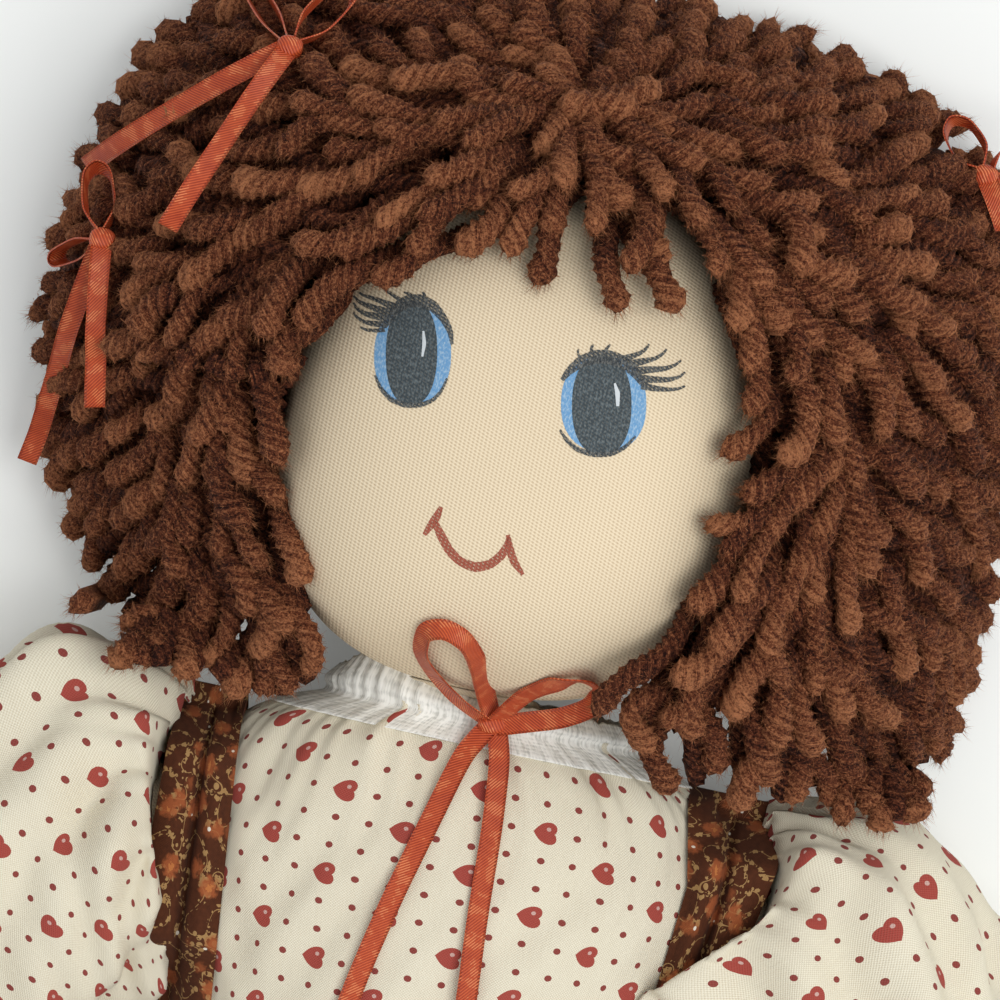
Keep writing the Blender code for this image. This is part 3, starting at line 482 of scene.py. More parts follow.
def lay_on_dome(path, depth, rise, sink):
    """Heights for the centre lines: roots lie deep under the dome's surface, and tips near it."""
    count = path.shape[1]
    share = np.linspace(0, 1, len(path))[:, None]
    height = hair_top(path[..., 0], path[..., 1]) - sink
    loose = chance.normal(0, 0.0022, count) * share
    lift = -depth * (1 - share) ** 1.15 - 0.0045 * share ** 6 + rise * np.sin(np.pi * share) ** 2 + loose
    face = head_front(path[..., 0], path[..., 1], 0.9 * strand_radius)
    inside = np.abs(path[..., 0] - head_x) < head_half_sizes(path[..., 1])[0]
    height = height + lift
    height = np.where(inside & (share > 0.3), np.maximum(height, face), height)
    over_shoulder = 0.050 + 0.008 * np.clip((neck_y + 0.006 - path[..., 1]) / 0.010, 0, 1)
    height = np.where(path[..., 1] < neck_y + 0.006, np.maximum(height, over_shoulder), height)
    path[..., 2] = np.maximum(height, 1.05 * strand_radius)
    return path


def yarn(name, path, material, replaced, columns, painted_light_level=1.0):
    """Plied strands: the columns of each tube wind round it, and every second one is a groove of the ply."""
    steps, count = path.shape[:2]
    run = np.gradient(path, axis=0)
    gone = np.cumsum(np.linalg.norm(np.diff(path, axis=0), axis=2), 0)
    length = np.concatenate([np.zeros((1, count)), gone])
    run /= np.linalg.norm(run, axis=2, keepdims=True)
    side = np.cross(run, [0, 0, 1.0])
    side /= np.linalg.norm(side, axis=2, keepdims=True) + 1e-9
    over = np.cross(side, run)
    share = np.linspace(0, 1, steps)[:, None]
    thick = strand_radius * chance.uniform(0.80, 1.18, count)
    wander = 1 + 0.06 * np.sin(length * 260 + chance.uniform(0, 6.28, count))
    wander = wander + 0.06 * np.sin(length * 610 + chance.uniform(0, 6.28, count))
    tip = np.sqrt(np.clip(1 - (np.clip(share - 0.90, 0, 1) / 0.106) ** 2, 0.10, 1))
    root = 0.55 + 0.45 * np.clip(share / 0.15, 0, 1)
    radius = thick * wander * tip * root * (1 + 0.12 * np.exp(-((share - 0.91) / 0.08) ** 2))
    angle = np.linspace(0, 2 * np.pi, columns, endpoint=False)
    winding = angle + (length * (2 * np.pi / ply_turn) + chance.uniform(0, 6.28, count))[..., None]
    depth = 0.26 * (1 - 0.65 * share[..., None] ** 3)
    groove = np.where(np.arange(columns) % 2 == 0, 1.0 - depth, 1.06)
    reach = radius[..., None] * groove * (1 + chance.normal(0, 0.03, (steps, count, columns)))
    rings = (path[:, :, None] + side[:, :, None] * (reach * np.cos(winding))[..., None]
             + over[:, :, None] * (reach * np.sin(winding))[..., None])
    frayed = chance.uniform(-0.0006, 0.0010, (count, columns))
    frayed = frayed * np.clip((share[..., None] - 0.9) / 0.1, 0, 1) ** 2
    rings = rings + run[:, :, None] * frayed[..., None]
    rings[..., 2] = np.maximum(rings[..., 2], 0.0002)
    points = rings.transpose(1, 0, 2, 3).reshape(-1, 3)
    first = (np.arange(count) * steps * columns)[:, None]
    faces = (tube_faces(steps, columns)[None] + first[..., None]).reshape(-1, 4)
    caps = first + np.arange(columns)
    ends = (steps - 1) * columns + caps
    around = np.linspace(0, columns / 2, columns + 1) + 8 * chance.integers(0, 40, count)[:, None, None]
    around = np.broadcast_to(around, (count, steps, columns + 1))
    along = np.broadcast_to(length.T[:, :, None], (count, steps, columns + 1))
    uv = np.stack([around, along], -1)
    uv = np.stack([uv[:, :-1, :-1], uv[:, :-1, 1:], uv[:, 1:, 1:], uv[:, 1:, :-1]], 3)
    uv = uv[:, :, :, ::-1].reshape(-1, 2)
    cap_uv = np.zeros((2 * count * columns, 2))
    # Tone is a chance level for each strand times its place along it, so the roots are nearly black: random
    # tone plus painted shade where strands lie under others; the light level darkens whole layers as painted
    # shade.
    tone = painted_light_level * (0.35 + 0.65 * chance.uniform(0, 1, count)[:, None, None]) * share.T[:, :, None] ** 1.7
    tone = np.broadcast_to(tone, (count, steps, columns))
    every_face = faces[:, ::-1].tolist() + caps.tolist() + ends[:, ::-1].tolist()
    made = build_mesh(name, points, every_face, material, np.concatenate([uv, cap_uv]), tone)
    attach(made, "head")
    if replaced:
        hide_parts(*replaced)
    return rings


def fuzz(name, rings, number, material):
    """Loose fibres: thin tapered threads that lie over the yarn, stand off it and fray out at its tips."""
    steps, count, columns = rings.shape[:3]
    step = (steps * (0.25 + 0.75 * chance.random(number) ** 0.55)).astype(int)
    pick = (step, chance.integers(0, count, number), chance.integers(0, columns, number))
    foot = rings[pick]
    out = foot - rings[pick[0], pick[1]].mean(1)
    out /= np.linalg.norm(out, axis=1, keepdims=True) + 1e-9
    ahead = rings[-1, pick[1]].mean(1) - rings[-4, pick[1]].mean(1)
    ahead /= np.linalg.norm(ahead, axis=1, keepdims=True) + 1e-9
    at_tip = (step > steps * 0.90)[:, None]
    way = chance.normal(0, 0.8, (number, 3)) + out * chance.uniform(0.0, 0.9, (number, 1))
    way = way + 2.0 * ahead * at_tip
    way /= np.linalg.norm(way, axis=1, keepdims=True)
    size = chance.uniform(0.0010, 0.0030, (number, 1)) * (1 + 0.9 * at_tip)
    side = np.cross(way, [0.3, 0.5, 0.81])
    side /= np.linalg.norm(side, axis=1, keepdims=True)
    other = np.cross(way, side)
    foot = foot - way * size * 0.3
    three_ways = (side, 0.87 * other - 0.5 * side, -0.87 * other - 0.5 * side)
    corners = [foot + fibre_radius * part for part in three_ways]
    points = np.stack(corners + [foot + way * size], 1)
    points[..., 2] = np.maximum(points[..., 2], 0.0002)
    base = np.arange(number)[:, None] * 4
    sides = ((0, 1, 3), (1, 2, 3), (2, 0, 3), (2, 1, 0))
    faces = np.concatenate([base + np.array(corner) for corner in sides])
    # The fibres get tones up to 1.9, above any strand's, so they show the lighter copper of the ramp: painted
    # highlight on the loose fibres.
    made = build_mesh(name, points, faces.tolist(), material, tone=chance.uniform(0.7, 1.9, number).repeat(4))
    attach(made, "head")


def yarn_material():
    """Red-brown wool: dark between the plies, copper where the fibres catch the light. The tone attribute,
    low at the roots and in the lower layers, darkens the colour: painted shade under the top strands.
    """
    material, tree, shader = cloth_material("brown_yarn", 0.70, sheen=0.05)
    shader.inputs["Sheen Tint"].default_value = (0.60, 0.26, 0.15, 1)
    shader.inputs["Specular IOR Level"].default_value = 0.15
    tone = add_node(tree, "ShaderNodeAttribute", attribute_name="tone")
    coords = add_node(tree, "ShaderNodeTexCoord")
    parts = add_node(tree, "ShaderNodeSeparateXYZ", {0: coords.outputs["UV"]})
    across = sums(tree, "MULTIPLY", parts.outputs[0], 4.0)
    along = sums(tree, "MULTIPLY", parts.outputs[1], 130.0)
    fibre_place = add_node(tree, "ShaderNodeCombineXYZ", {0: across, 1: along})
    fibres = noise(tree, fibre_place.outputs[0], 1.7, 4.0, 0.7)
    wool = noise(tree, coords.outputs["Object"], 1500.0, 4.0, 0.75)
    patch = noise(tree, coords.outputs["Object"], 70.0)
    ridge = sums(tree, "COSINE", sums(tree, "MULTIPLY", parts.outputs[0], 2 * math.pi))
    blend = sums(tree, "MULTIPLY", fibres.outputs[0], 0.9)
    blend = sums(tree, "MULTIPLY_ADD", tone.outputs["Fac"], 0.50, blend)
    blend = sums(tree, "MULTIPLY_ADD", wool.outputs[0], 1.8, blend)
    blend = sums(tree, "MULTIPLY_ADD", patch.outputs[0], 0.35, blend)
    blend = sums(tree, "MULTIPLY_ADD", ridge, -0.08, blend)
    ramp = add_node(tree, "ShaderNodeValToRGB", {0: sums(tree, "SUBTRACT", blend, 1.20)})
    ramp.color_ramp.elements[0].position = 0.20
    ramp.color_ramp.elements[0].color = (0.014, 0.0018, 0.0016, 1)
    ramp.color_ramp.elements[1].position = 0.86
    ramp.color_ramp.elements[1].color = (0.660, 0.260, 0.112, 1)
    middle = ramp.color_ramp.elements.new(0.5)
    middle.color = (0.185, 0.047, 0.019, 1)
    tree.links.new(ramp.outputs[0], shader.inputs["Base Color"])
    height = sums(tree, "MULTIPLY_ADD", wool.outputs[0], 0.7, fibres.outputs[0])
    raise_bumps(tree, shader, height, 1.0, 0.0016)
    return material


# The edge of the bare face: height above the head's middle, half width to the doll's left and right.
face_edge = np.array([
    (-0.064, 0.022, 0.020), (-0.052, 0.029, 0.033), (-0.045, 0.032, 0.041), (-0.030, 0.045, 0.048),
    (-0.014, 0.046, 0.052), (-0.003, 0.036, 0.052), (0.006, 0.039, 0.051), (0.017, 0.049, 0.048),
    (0.028, 0.043, 0.037), (0.034, 0.018, 0.012),
])


def clear_of_face(x, y):
    """True where a strand may end: outside the bare part of the face."""
    x = x - head_x
    y = y - head_y
    left = np.interp(y, face_edge[:, 0], face_edge[:, 1])
    right = np.interp(y, face_edge[:, 0], face_edge[:, 2])
    return (y > 0.034 + 0.004 * np.sin(300 * x)) | (x > left) | (x < -right)


def hair_may_end(x, y):
    """True inside the hair's outline, above the shoulders and clear of the face."""
    low_locks = np.where(x < head_x - 0.028, -0.0085, np.where(x > head_x + 0.040, -0.0085, 0.0035))
    return (hair_spread(x, y) < 1.09) & (y > neck_y + low_locks) & clear_of_face(x, y)


def hair_may_lie(x, y):
    """True for the hidden lower layer: a little inside the outline, and well clear of the face."""
    bare = np.interp(y - head_y, (-0.060, -0.045, -0.030, 0.0, 0.048), (0.036, 0.043, 0.052, 0.0565, 0.0560))
    near_face = (np.abs(x - head_x) < bare) & (y < head_y + 0.048)
    over_dress = np.where(np.abs(x - head_x) > 0.034, -0.0060, 0.004)
    return (hair_spread(x, y) < 0.93) & (y > neck_y + over_dress) & ~near_face


brown_yarn = yarn_material()
tips = spread_tips(22000, 0.0090, hair_may_end)
lengths = chance.uniform(0.026, 0.042, len(tips))
fringe = (np.abs(tips[:, 0] - head_x) < 0.045) & (tips[:, 1] - head_y > 0.02) & (tips[:, 1] - head_y < 0.06)
lengths[fringe] *= 0.85
path = strand_paths(tips, lengths, 0.26, 34)
rooted = clear_of_face(path[:24, :, 0], path[:24, :, 1]).all(0)
path = lay_on_dome(path[:, rooted], 0.021, 0.0030, 0.0)
from_middle = tips[rooted, 0] - head_x
for name, group, replaced in (
    ("hair_strands_left", from_middle > 0.036, ["hair_left"]),
    ("hair_strands_right", from_middle < -0.036, ["hair_right"]),
    ("hair_strands_crown", np.abs(from_middle) <= 0.036, ["hair_crown"]),
):
    rings = yarn(name, path[:, group], brown_yarn, replaced, 2 * plies)
    for layer in ("a", "b"):
        fuzz(name + "_fuzz_" + layer, rings, min(48000, int(170 * group.sum())), brown_yarn)
under_tips = spread_tips(9000, 0.0088, hair_may_lie)
under_path = strand_paths(under_tips, chance.uniform(0.032, 0.044, len(under_tips)), 0.30, 20)
rooted = clear_of_face(under_path[..., 0], under_path[..., 1]).all(0)
under_path = lay_on_dome(under_path[:, rooted], 0.006, 0.0, 0.0085)
# The lower layer is drawn at a small fraction of the light level: painted shade under the top strands.
yarn("hair_strands_under", under_path, brown_yarn, [], 8, painted_light_level=0.12)
cheek_share = np.linspace(0, 1, 40)[:, None]
cheek_side = np.array([-1, -1, -1, -1, 1, 1, 1, 1])
cheek_out = np.array([0.0012, 0.0075, 0.0020, 0.0090] * 2)
cheek_deep = np.array([0.002, -0.004, 0.020, 0.016] * 2)
cheek_y = head_y + 0.045 - 0.098 * cheek_share + 0 * cheek_out
cheek_path = np.stack([
    head_x + cheek_side * (head_half_sizes(np.maximum(cheek_y, head_y - 0.046))[0] + cheek_out)
    + 0.0012 * np.sin(14 * cheek_share + 9 * cheek_out * 1000), cheek_y,
    head_z + cheek_deep * np.cos(1.4 * cheek_share)], -1)
# The strands along the cheeks are drawn far darker too: painted shade between the face and the hair.
yarn("hair_strands_cheek", cheek_path, brown_yarn, [], 8, painted_light_level=0.15)

# Hair core. Under the strands lies packed yarn, a ring round the head that is open at the neck, so
# that nothing is seen through between the strands; its sides are ribbed by the locks it is made of.
core_rows = 560
core_columns = 48
core_spread = 0.80
core_above_neck = 0.018
lock_turns = 15
lock_side = 0.003
lock_height = 0.0026


def outline_places(turn, spread):
    """Places round the head where the hair's spread has a value, found by small steps outwards or in."""
    reach = np.ones(len(turn))
    for step in range(40):
        x = head_x + np.cos(turn) * reach * hair_half[0]
        y = head_y + np.sin(turn) * reach * hair_half[1]
        reach *= 1 - 0.3 * (hair_spread(x, y) - spread)
    return x, y


core_turn = np.linspace(-0.13 * np.pi, 1.13 * np.pi, core_rows)
out_x, out_y = outline_places(core_turn, core_spread)
out_way = np.stack([out_x - head_x, out_y - head_y], -1)
core_out = np.linalg.norm(out_way, axis=1)
out_way /= core_out[:, None]
lowest = head_y - neck_y - core_above_neck
core_out = np.minimum(core_out, lowest / np.maximum(-out_way[:, 1], 0.05))
core_in = 1 / np.sqrt((out_way[:, 0] / (head_half + 0.002)) ** 2 + (out_way[:, 1] / (head_up + 0.002)) ** 2)
core_in = np.minimum(core_in, core_out - 0.012)
core_round = np.linspace(0, 2 * np.pi, core_columns, endpoint=False)
core_reach = (1 + np.sign(np.cos(core_round)) * np.abs(np.cos(core_round)) ** 0.5) / 2
core_level = (1 + np.sign(np.sin(core_round)) * np.abs(np.sin(core_round)) ** 0.5) / 2
reach = core_in[:, None] + (core_out - core_in)[:, None] * core_reach
packed = core_turn[:, None] * lock_turns + 0.30 * np.sin(reach * 95 + 5 * core_turn[:, None])
lock = np.sqrt(1 - (2 * (packed % 1) - 1) ** 2)
core_x = head_x + out_way[:, :1] * reach
core_y = head_y + out_way[:, 1:] * reach
core_top = np.maximum(hair_top(core_x, core_y) - 0.0165, 0.010) + lock_height * lock
core_points = np.stack([core_x + out_way[:, :1] * lock_side * lock * core_reach,
                        core_y + out_way[:, 1:] * lock_side * lock * core_reach,
                        0.0060 - lock_height * lock + (core_top - 0.0035) * core_level], -1)
core_uv = np.stack([4 * packed + reach / ply_turn, reach + 0 * packed], -1)
core_uv = np.concatenate([core_uv, core_uv[:, :1]], axis=1)
# The core carries no tone, so it takes the darkest colour of the yarn: painted shade between the strands.
core = closed_form("hair_strands_core", core_points[:, ::-1], brown_yarn, core_uv[:, ::-1])
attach(core, "head")

# Hair rim and back. Strands in two rows fall to the table round the hair, and one flat row lies on it
# under the head, where the weight of the head presses them down.
rim_count = 92
rim_above_neck = 0.024
for label, level, spread in (("rim", 0.0042, 0.97), ("rim_upper", 0.0125, 0.94)):
    rim_turn = np.linspace(0, 2 * np.pi, rim_count, endpoint=False) + chance.normal(0, 0.02, rim_count)
    rim_x, rim_y = outline_places(rim_turn, spread)
    kept = rim_y > neck_y + rim_above_neck
    rim_tips = np.stack([rim_x, rim_y, 0 * rim_x], -1)[kept]
    rim_path = strand_paths(rim_tips, chance.uniform(0.045, 0.055, kept.sum()), 0.12, 26)
    rim_path[..., 2] = level + chance.uniform(0, 0.006, kept.sum())
    yarn("hair_strands_" + label, rim_path, brown_yarn, [], 8)
back_x = np.linspace(-0.048, 0.048, 14) + head_x
back_share = np.linspace(0, 1, 30)[:, None]
back_path = np.stack([
    back_x * (0.55 + 0.45 * back_share) + 0.0012 * np.sin(9 * back_share + 40 * back_x),
    head_y + 0.070 - back_share * (0.112 + 0.006 * np.sin(90 * back_x)),
    0.0042 + 0.0012 * np.sin(13 * back_share + 70 * back_x) ** 2 + 0 * back_x,
], -1)
yarn("hair_strands_back", back_path, brown_yarn, ["hair_back"], 8)

# Bows in the hair. Narrow rust satin ribbon tied round locks of the yarn, with two open loops and two
# slanting cut tails on each. The ribbon is a twill, with a row of stitches along each edge.
ribbon_width = 0.0048
ribbon_thick = 0.0004


def smooth_path(points, count):
    """A smooth curve through points: straight steps, rounded by repeated averaging, in even steps."""
    points = np.asarray(points, float)
    reach = np.linspace(0, len(points) - 1, 12 * len(points))
    fine = np.stack([np.interp(reach, np.arange(len(points)), points[:, k]) for k in range(3)], -1)
    for repeat in range(24):
        fine[1:-1] = (fine[:-2] + 2 * fine[1:-1] + fine[2:]) / 4
    gone = np.concatenate([[0], np.cumsum(np.linalg.norm(np.diff(fine, axis=0), axis=1))])
    even = np.linspace(0, gone[-1], count)
    return np.stack([np.interp(even, gone, fine[:, k]) for k in range(3)], -1)


def cloth_shell(name, points, material, wrap=True, thick=0.0006, uv=None, turned=False):
    """Cloth of a thickness from a grid of outer points: inner layer along the surface's normals, and rims."""
    rows, cols = points.shape[:2]
    if wrap:
        looped = np.concatenate([points[:, -1:], points, points[:, :1]], axis=1)
        across = looped[:, 2:] - looped[:, :-2]
    else:
        across = np.gradient(points, axis=1)
    along = np.gradient(points, axis=0)
    normal = np.cross(across, along)
    if turned:
        normal = -normal
    normal /= np.linalg.norm(normal, axis=2, keepdims=True) + 1e-12
    inner = points - normal * thick
    uv = arc_uv(points, wrap) if uv is None else uv
    make = tube_faces if wrap else sheet_faces
    outside = make(rows, cols)
    inside = make(rows, cols, rows * cols)[:, ::-1]
    outer_uv = corner_uv(uv).reshape(-1, 4, 2)
    faces = [outside, inside]
    corners = [outer_uv, outer_uv[:, ::-1]]
    spans = cols if wrap else cols - 1
    first = np.arange(spans)
    after = (first + 1) % cols
    for row, flip in ((0, False), (rows - 1, True)):
        rim = np.stack([row * cols + after, row * cols + first,
                        rows * cols + row * cols + first, rows * cols + row * cols + after], 1)
        rim_uv = np.stack([uv[row, 1:spans + 1], uv[row, :spans], uv[row, :spans], uv[row, 1:spans + 1]], 1)
        faces.append(rim[:, ::-1] if flip else rim)
        corners.append(rim_uv[:, ::-1] if flip else rim_uv)
    if not wrap:
        down = np.arange(rows - 1)
        for col, flip in ((0, True), (cols - 1, False)):
            low = down * cols + col
            high = low + cols
            rim = np.stack([high, low, rows * cols + low, rows * cols + high], 1)
            rim_uv = np.stack([uv[1:, col], uv[:-1, col], uv[:-1, col], uv[1:, col]], 1)
            faces.append(rim if flip else rim[:, ::-1])
            corners.append(rim_uv if flip else rim_uv[:, ::-1])
    faces = np.concatenate(faces)
    corners = np.concatenate(corners)
    if turned:
        faces = faces[:, ::-1]
        corners = corners[:, ::-1]
    both = np.concatenate([points.reshape(-1, 3), inner.reshape(-1, 3)])
    return build_mesh(name, both, faces.tolist(), material, corners)


def satin_material():
    """Rust satin: fine diagonal twill, dark stitches near both edges, a slow noise that swings the colour
    between dark and light rust as painted sheen, and bright orange flecks as painted highlights.
    """
    material, tree, shader = cloth_material("rust_satin", 0.42)
    shader.inputs["Specular IOR Level"].default_value = 0.35
    coords = add_node(tree, "ShaderNodeTexCoord")
    parts = add_node(tree, "ShaderNodeSeparateXYZ", {0: coords.outputs["UV"]})
    slope = sums(tree, "ADD", parts.outputs[0], parts.outputs[1])
    twill = sums(tree, "SINE", sums(tree, "MULTIPLY", slope, 2 * math.pi / 0.00080))
    edge = sums(tree, "ABSOLUTE", sums(tree, "SUBTRACT", parts.outputs[0], ribbon_width / 2))
    near = sums(tree, "COMPARE", edge, ribbon_width * 0.42, 0.00022)
    stitch = sums(tree, "SINE", sums(tree, "MULTIPLY", parts.outputs[1], 2 * math.pi / 0.0009))
    dots = sums(tree, "MULTIPLY", near, sums(tree, "GREATER_THAN", stitch, 0.1))
    cloud = noise(tree, coords.outputs["Object"], 300.0)
    # Soft patches of light and dark rust from the noise: painted sheen on the satin.
    tone = sums(tree, "MULTIPLY_ADD", twill, 0.30, sums(tree, "MULTIPLY", cloud.outputs[0], 0.8))
    base = mixed(tree, tone, (0.33, 0.028, 0.008, 1), (0.78, 0.150, 0.042, 1))
    # Bright orange flecks where twill crests meet light noise: painted highlight.
    painted_gleam = sums(tree, "MULTIPLY", sums(tree, "GREATER_THAN", twill, 0.55),
                 sums(tree, "GREATER_THAN", cloud.outputs[0], 0.55))
    base = mixed(tree, sums(tree, "MULTIPLY", painted_gleam, 0.6), base, (0.86, 0.34, 0.14, 1))
    base = mixed(tree, sums(tree, "MULTIPLY", dots, 0.55), base, (0.16, 0.016, 0.007, 1))
    tree.links.new(base, shader.inputs["Base Color"])
    height = sums(tree, "MULTIPLY_ADD", dots, -1.0, twill)
    raise_bumps(tree, shader, height, 0.5, 0.00016)
    return material


rust_satin = satin_material()


def ribbon(name, body, path, sides, count=60, width=ribbon_width):
    """A ribbon along a path; the side directions are given at its ends and turn evenly between them."""
    line = smooth_path(path, count)
    share = np.linspace(0, 1, count)[:, None]
    sides = np.asarray(sides, float)
    reach = share[:, 0] * (len(sides) - 1)
    side = np.stack([np.interp(reach, np.arange(len(sides)), sides[:, k]) for k in range(3)], -1)
    run = np.gradient(line, axis=0)
    run /= np.linalg.norm(run, axis=1, keepdims=True)
    side -= run * (side * run).sum(1, keepdims=True)
    side /= np.linalg.norm(side, axis=1, keepdims=True)
    span = np.linspace(-0.5, 0.5, 7)
    points = line[:, None] + side[:, None] * (span * width)[None, :, None]
    made = cloth_shell(name, points, rust_satin, wrap=False, thick=ribbon_thick)
    if body:
        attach(made, body)
    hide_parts(name)
    return made


def knot_form(name, body, centre, size):
    """The knot: a small rounded pillow of ribbon with a crease round it."""
    up = np.linspace(-0.49 * np.pi, 0.49 * np.pi, 16)[:, None]
    angle = np.linspace(0, 2 * np.pi, 28, endpoint=False)[None]
    crease = 1 + 0.05 * np.cos(5 * angle + 4 * up)
    shape = np.stack([np.sign(np.sin(up)) * np.abs(np.sin(up)) ** 0.8 + 0 * angle,
                      np.cos(up) ** 0.7 * np.cos(angle) * crease,
                      np.cos(up) ** 0.7 * np.sin(angle) * crease], -1)
    made = closed_form(name, (centre + shape * np.array(size) / 2)[:, ::-1], rust_satin)
    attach(made, body)
    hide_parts(name)


def box_middle(node):
    """The middle of a node's box in the frame."""
    low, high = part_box(node)
    return (np.array(low) + np.array(high)) / 2


def on_hair(x, y, lift):
    """A point over the yarn at a place."""
    return np.array([x, y, float(hair_top(x, y)) + lift])


left_bow_shift = np.array([0.016, 0.014, 0])
bow_plan = (
    ("hair_bow_top_right", ((-0.016, 0.017), (0.010, 0.018)), ((-0.043, -0.034), (-0.018, -0.046))),
    ("hair_bow_side_right", ((-0.006, 0.017), (-0.012, -0.006)), ((0.006, -0.038), (-0.010, -0.054))),
    ("hair_bow_top_left", ((-0.010, 0.012), (0.012, 0.010)), ((0.030, -0.014), (0.018, -0.030))),
)
for bow, loops, tails in bow_plan:
    centre = box_middle(bow + "_knot") + left_bow_shift * (bow == "hair_bow_top_left")
    knot = on_hair(centre[0], centre[1], 0.0062)
    knot_form(bow + "_knot", "head", knot, (0.0060, 0.0052, 0.0048))
    for label, (dx, dy) in zip("ab", loops):
        far = on_hair(knot[0] + dx, knot[1] + dy, 0.0085)
        reach = np.linalg.norm(far - knot)
        out = (far - knot) / reach
        side = np.cross(out, [0, 0, 1.0])
        spread = side * 0.0042
        route = [knot + out * 0.002, knot + out * 0.35 * reach + spread,
                 far - out * 0.003 + spread * 0.9, far, far - out * 0.003 - spread * 0.9,
                 knot + out * 0.35 * reach - spread, knot + out * 0.002]
        up = np.cross(side, out)
        ribbon(bow + "_loop_" + label, "head", route, [up + 0.3 * side, up, up - 0.3 * side])
    for label, (dx, dy) in zip("ab", tails):
        route = []
        for share in np.linspace(0, 1, 8):
            x = knot[0] + dx * share
            y = knot[1] + dy * share
            route.append(on_hair(x, y, 0.0060 + 0.0012 * math.sin(9 * share)) if share else knot)
        across = np.array([-dy, dx, 0]) / math.hypot(dx, dy)
        ribbon(bow + "_tail_" + label, "head", route, [across, across + [0, 0, 0.3], across - [0, 0, 0.25]])

# Trunk and neck. The trunk is a stuffed bag of the same knit, flat where it is turned in at the hips;
# the neck is a short stuffed tube, and each hip seam is a rolled line of stitches.
trunk_length = 0.167
trunk_half = np.array([0.063, 0.027])
trunk_rows = np.array([
    (0.0, 0.26, 0.57), (0.02, 0.48, 0.64), (0.06, 0.73, 0.80), (0.12, 0.92, 0.91), (0.21, 1.0, 0.98),
    (0.36, 0.95, 1.0), (0.54, 0.87, 1.0), (0.64, 0.87, 0.98), (0.80, 0.91, 0.96), (0.895, 0.90, 0.58),
    (1.0, 0.87, 0.056),
])
body_knit = knit_material("body_knit", skin, False)


def curve(place, knots, values):
    """Smooth values between the rows of a table: a cubic through them with the mean slopes at its rows."""
    place = np.clip(np.asarray(place, float), knots[0], knots[-1])
    slope = np.gradient(values, knots)
    index = np.clip(np.searchsorted(knots, place, "right") - 1, 0, len(knots) - 2)
    gap = knots[index + 1] - knots[index]
    t = (place - knots[index]) / gap
    return ((2 * t ** 3 - 3 * t ** 2 + 1) * values[index] + (t ** 3 - 2 * t ** 2 + t) * gap * slope[index]
            + (3 * t ** 2 - 2 * t ** 3) * values[index + 1] + (t ** 3 - t ** 2) * gap * slope[index + 1])


def trunk_half_sizes(down):
    """Half width and half depth of the trunk at a distance below the neck."""
    share = np.asarray(down, float) / trunk_length
    return (trunk_half[0] * curve(share, trunk_rows[:, 0], trunk_rows[:, 1]),
            trunk_half[1] * curve(share, trunk_rows[:, 0], trunk_rows[:, 2]))


def cross_rings(x, down, wide, deep, angle, lift=0.0):
    """Rings across the doll at distances below the neck: ellipses, each let out by a lift."""
    lift = np.broadcast_to(lift, (len(down), len(angle)))
    return np.stack([
        x + (wide[:, None] + lift) * np.cos(angle),
        np.repeat(neck_y - down[:, None], len(angle), 1),
        trunk_z + (deep[:, None] + lift) * np.sin(angle),
    ], -1)


ring_angle = np.linspace(0, 2 * np.pi, 120, endpoint=False)
down = np.linspace(0.0002, trunk_length - 0.0002, 70)
wide, deep = trunk_half_sizes(down)
torso = closed_form("torso_soft", cross_rings(0, down, wide, deep, ring_angle), body_knit)
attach(torso, "torso")
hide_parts("torso_skin", "torso_stuffing")
neck_rise = np.linspace(-0.0002, 0.0044, 8)
neck_share = np.linspace(0, 1, 8)[:, None]
neck_rings = np.stack([
    neck_share * -0.006 + 0.0163 * np.cos(ring_angle),
    np.repeat((neck_y + neck_rise)[:, None], len(ring_angle), 1),
    trunk_z + 0.0125 * neck_share + 0.0133 * np.sin(ring_angle),
], -1)
neck = closed_form("neck_soft", neck_rings[:, ::-1], body_knit)
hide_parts("neck_tube")
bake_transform(neck)
for side in ("left", "right"):
    low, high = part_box("hip_seam_" + side)
    stitch_x = np.linspace(low[0], high[0], 120)
    stitch = 0.0012 * (0.90 + 0.10 * np.cos(stitch_x * 2 * np.pi / 0.0022))
    small = np.linspace(0, 2 * np.pi, 16, endpoint=False)
    seam_rings = np.stack([
        np.repeat(stitch_x[:, None], 16, 1),
        (low[1] + high[1]) / 2 + stitch[:, None] * np.cos(small),
        (low[2] + high[2]) / 2 + stitch[:, None] * np.sin(small),
    ], -1)
    seam = closed_form("hip_seam_soft_" + side, seam_rings, body_knit)
    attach(seam, "torso")
    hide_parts("hip_seam_" + side)

# Dress bodice. Cream cotton lawn printed with small red hearts and dots, gathered into the neckline,
# so folds run down from the neck over the chest and die out towards the waist.
bodice_down = 0.1040


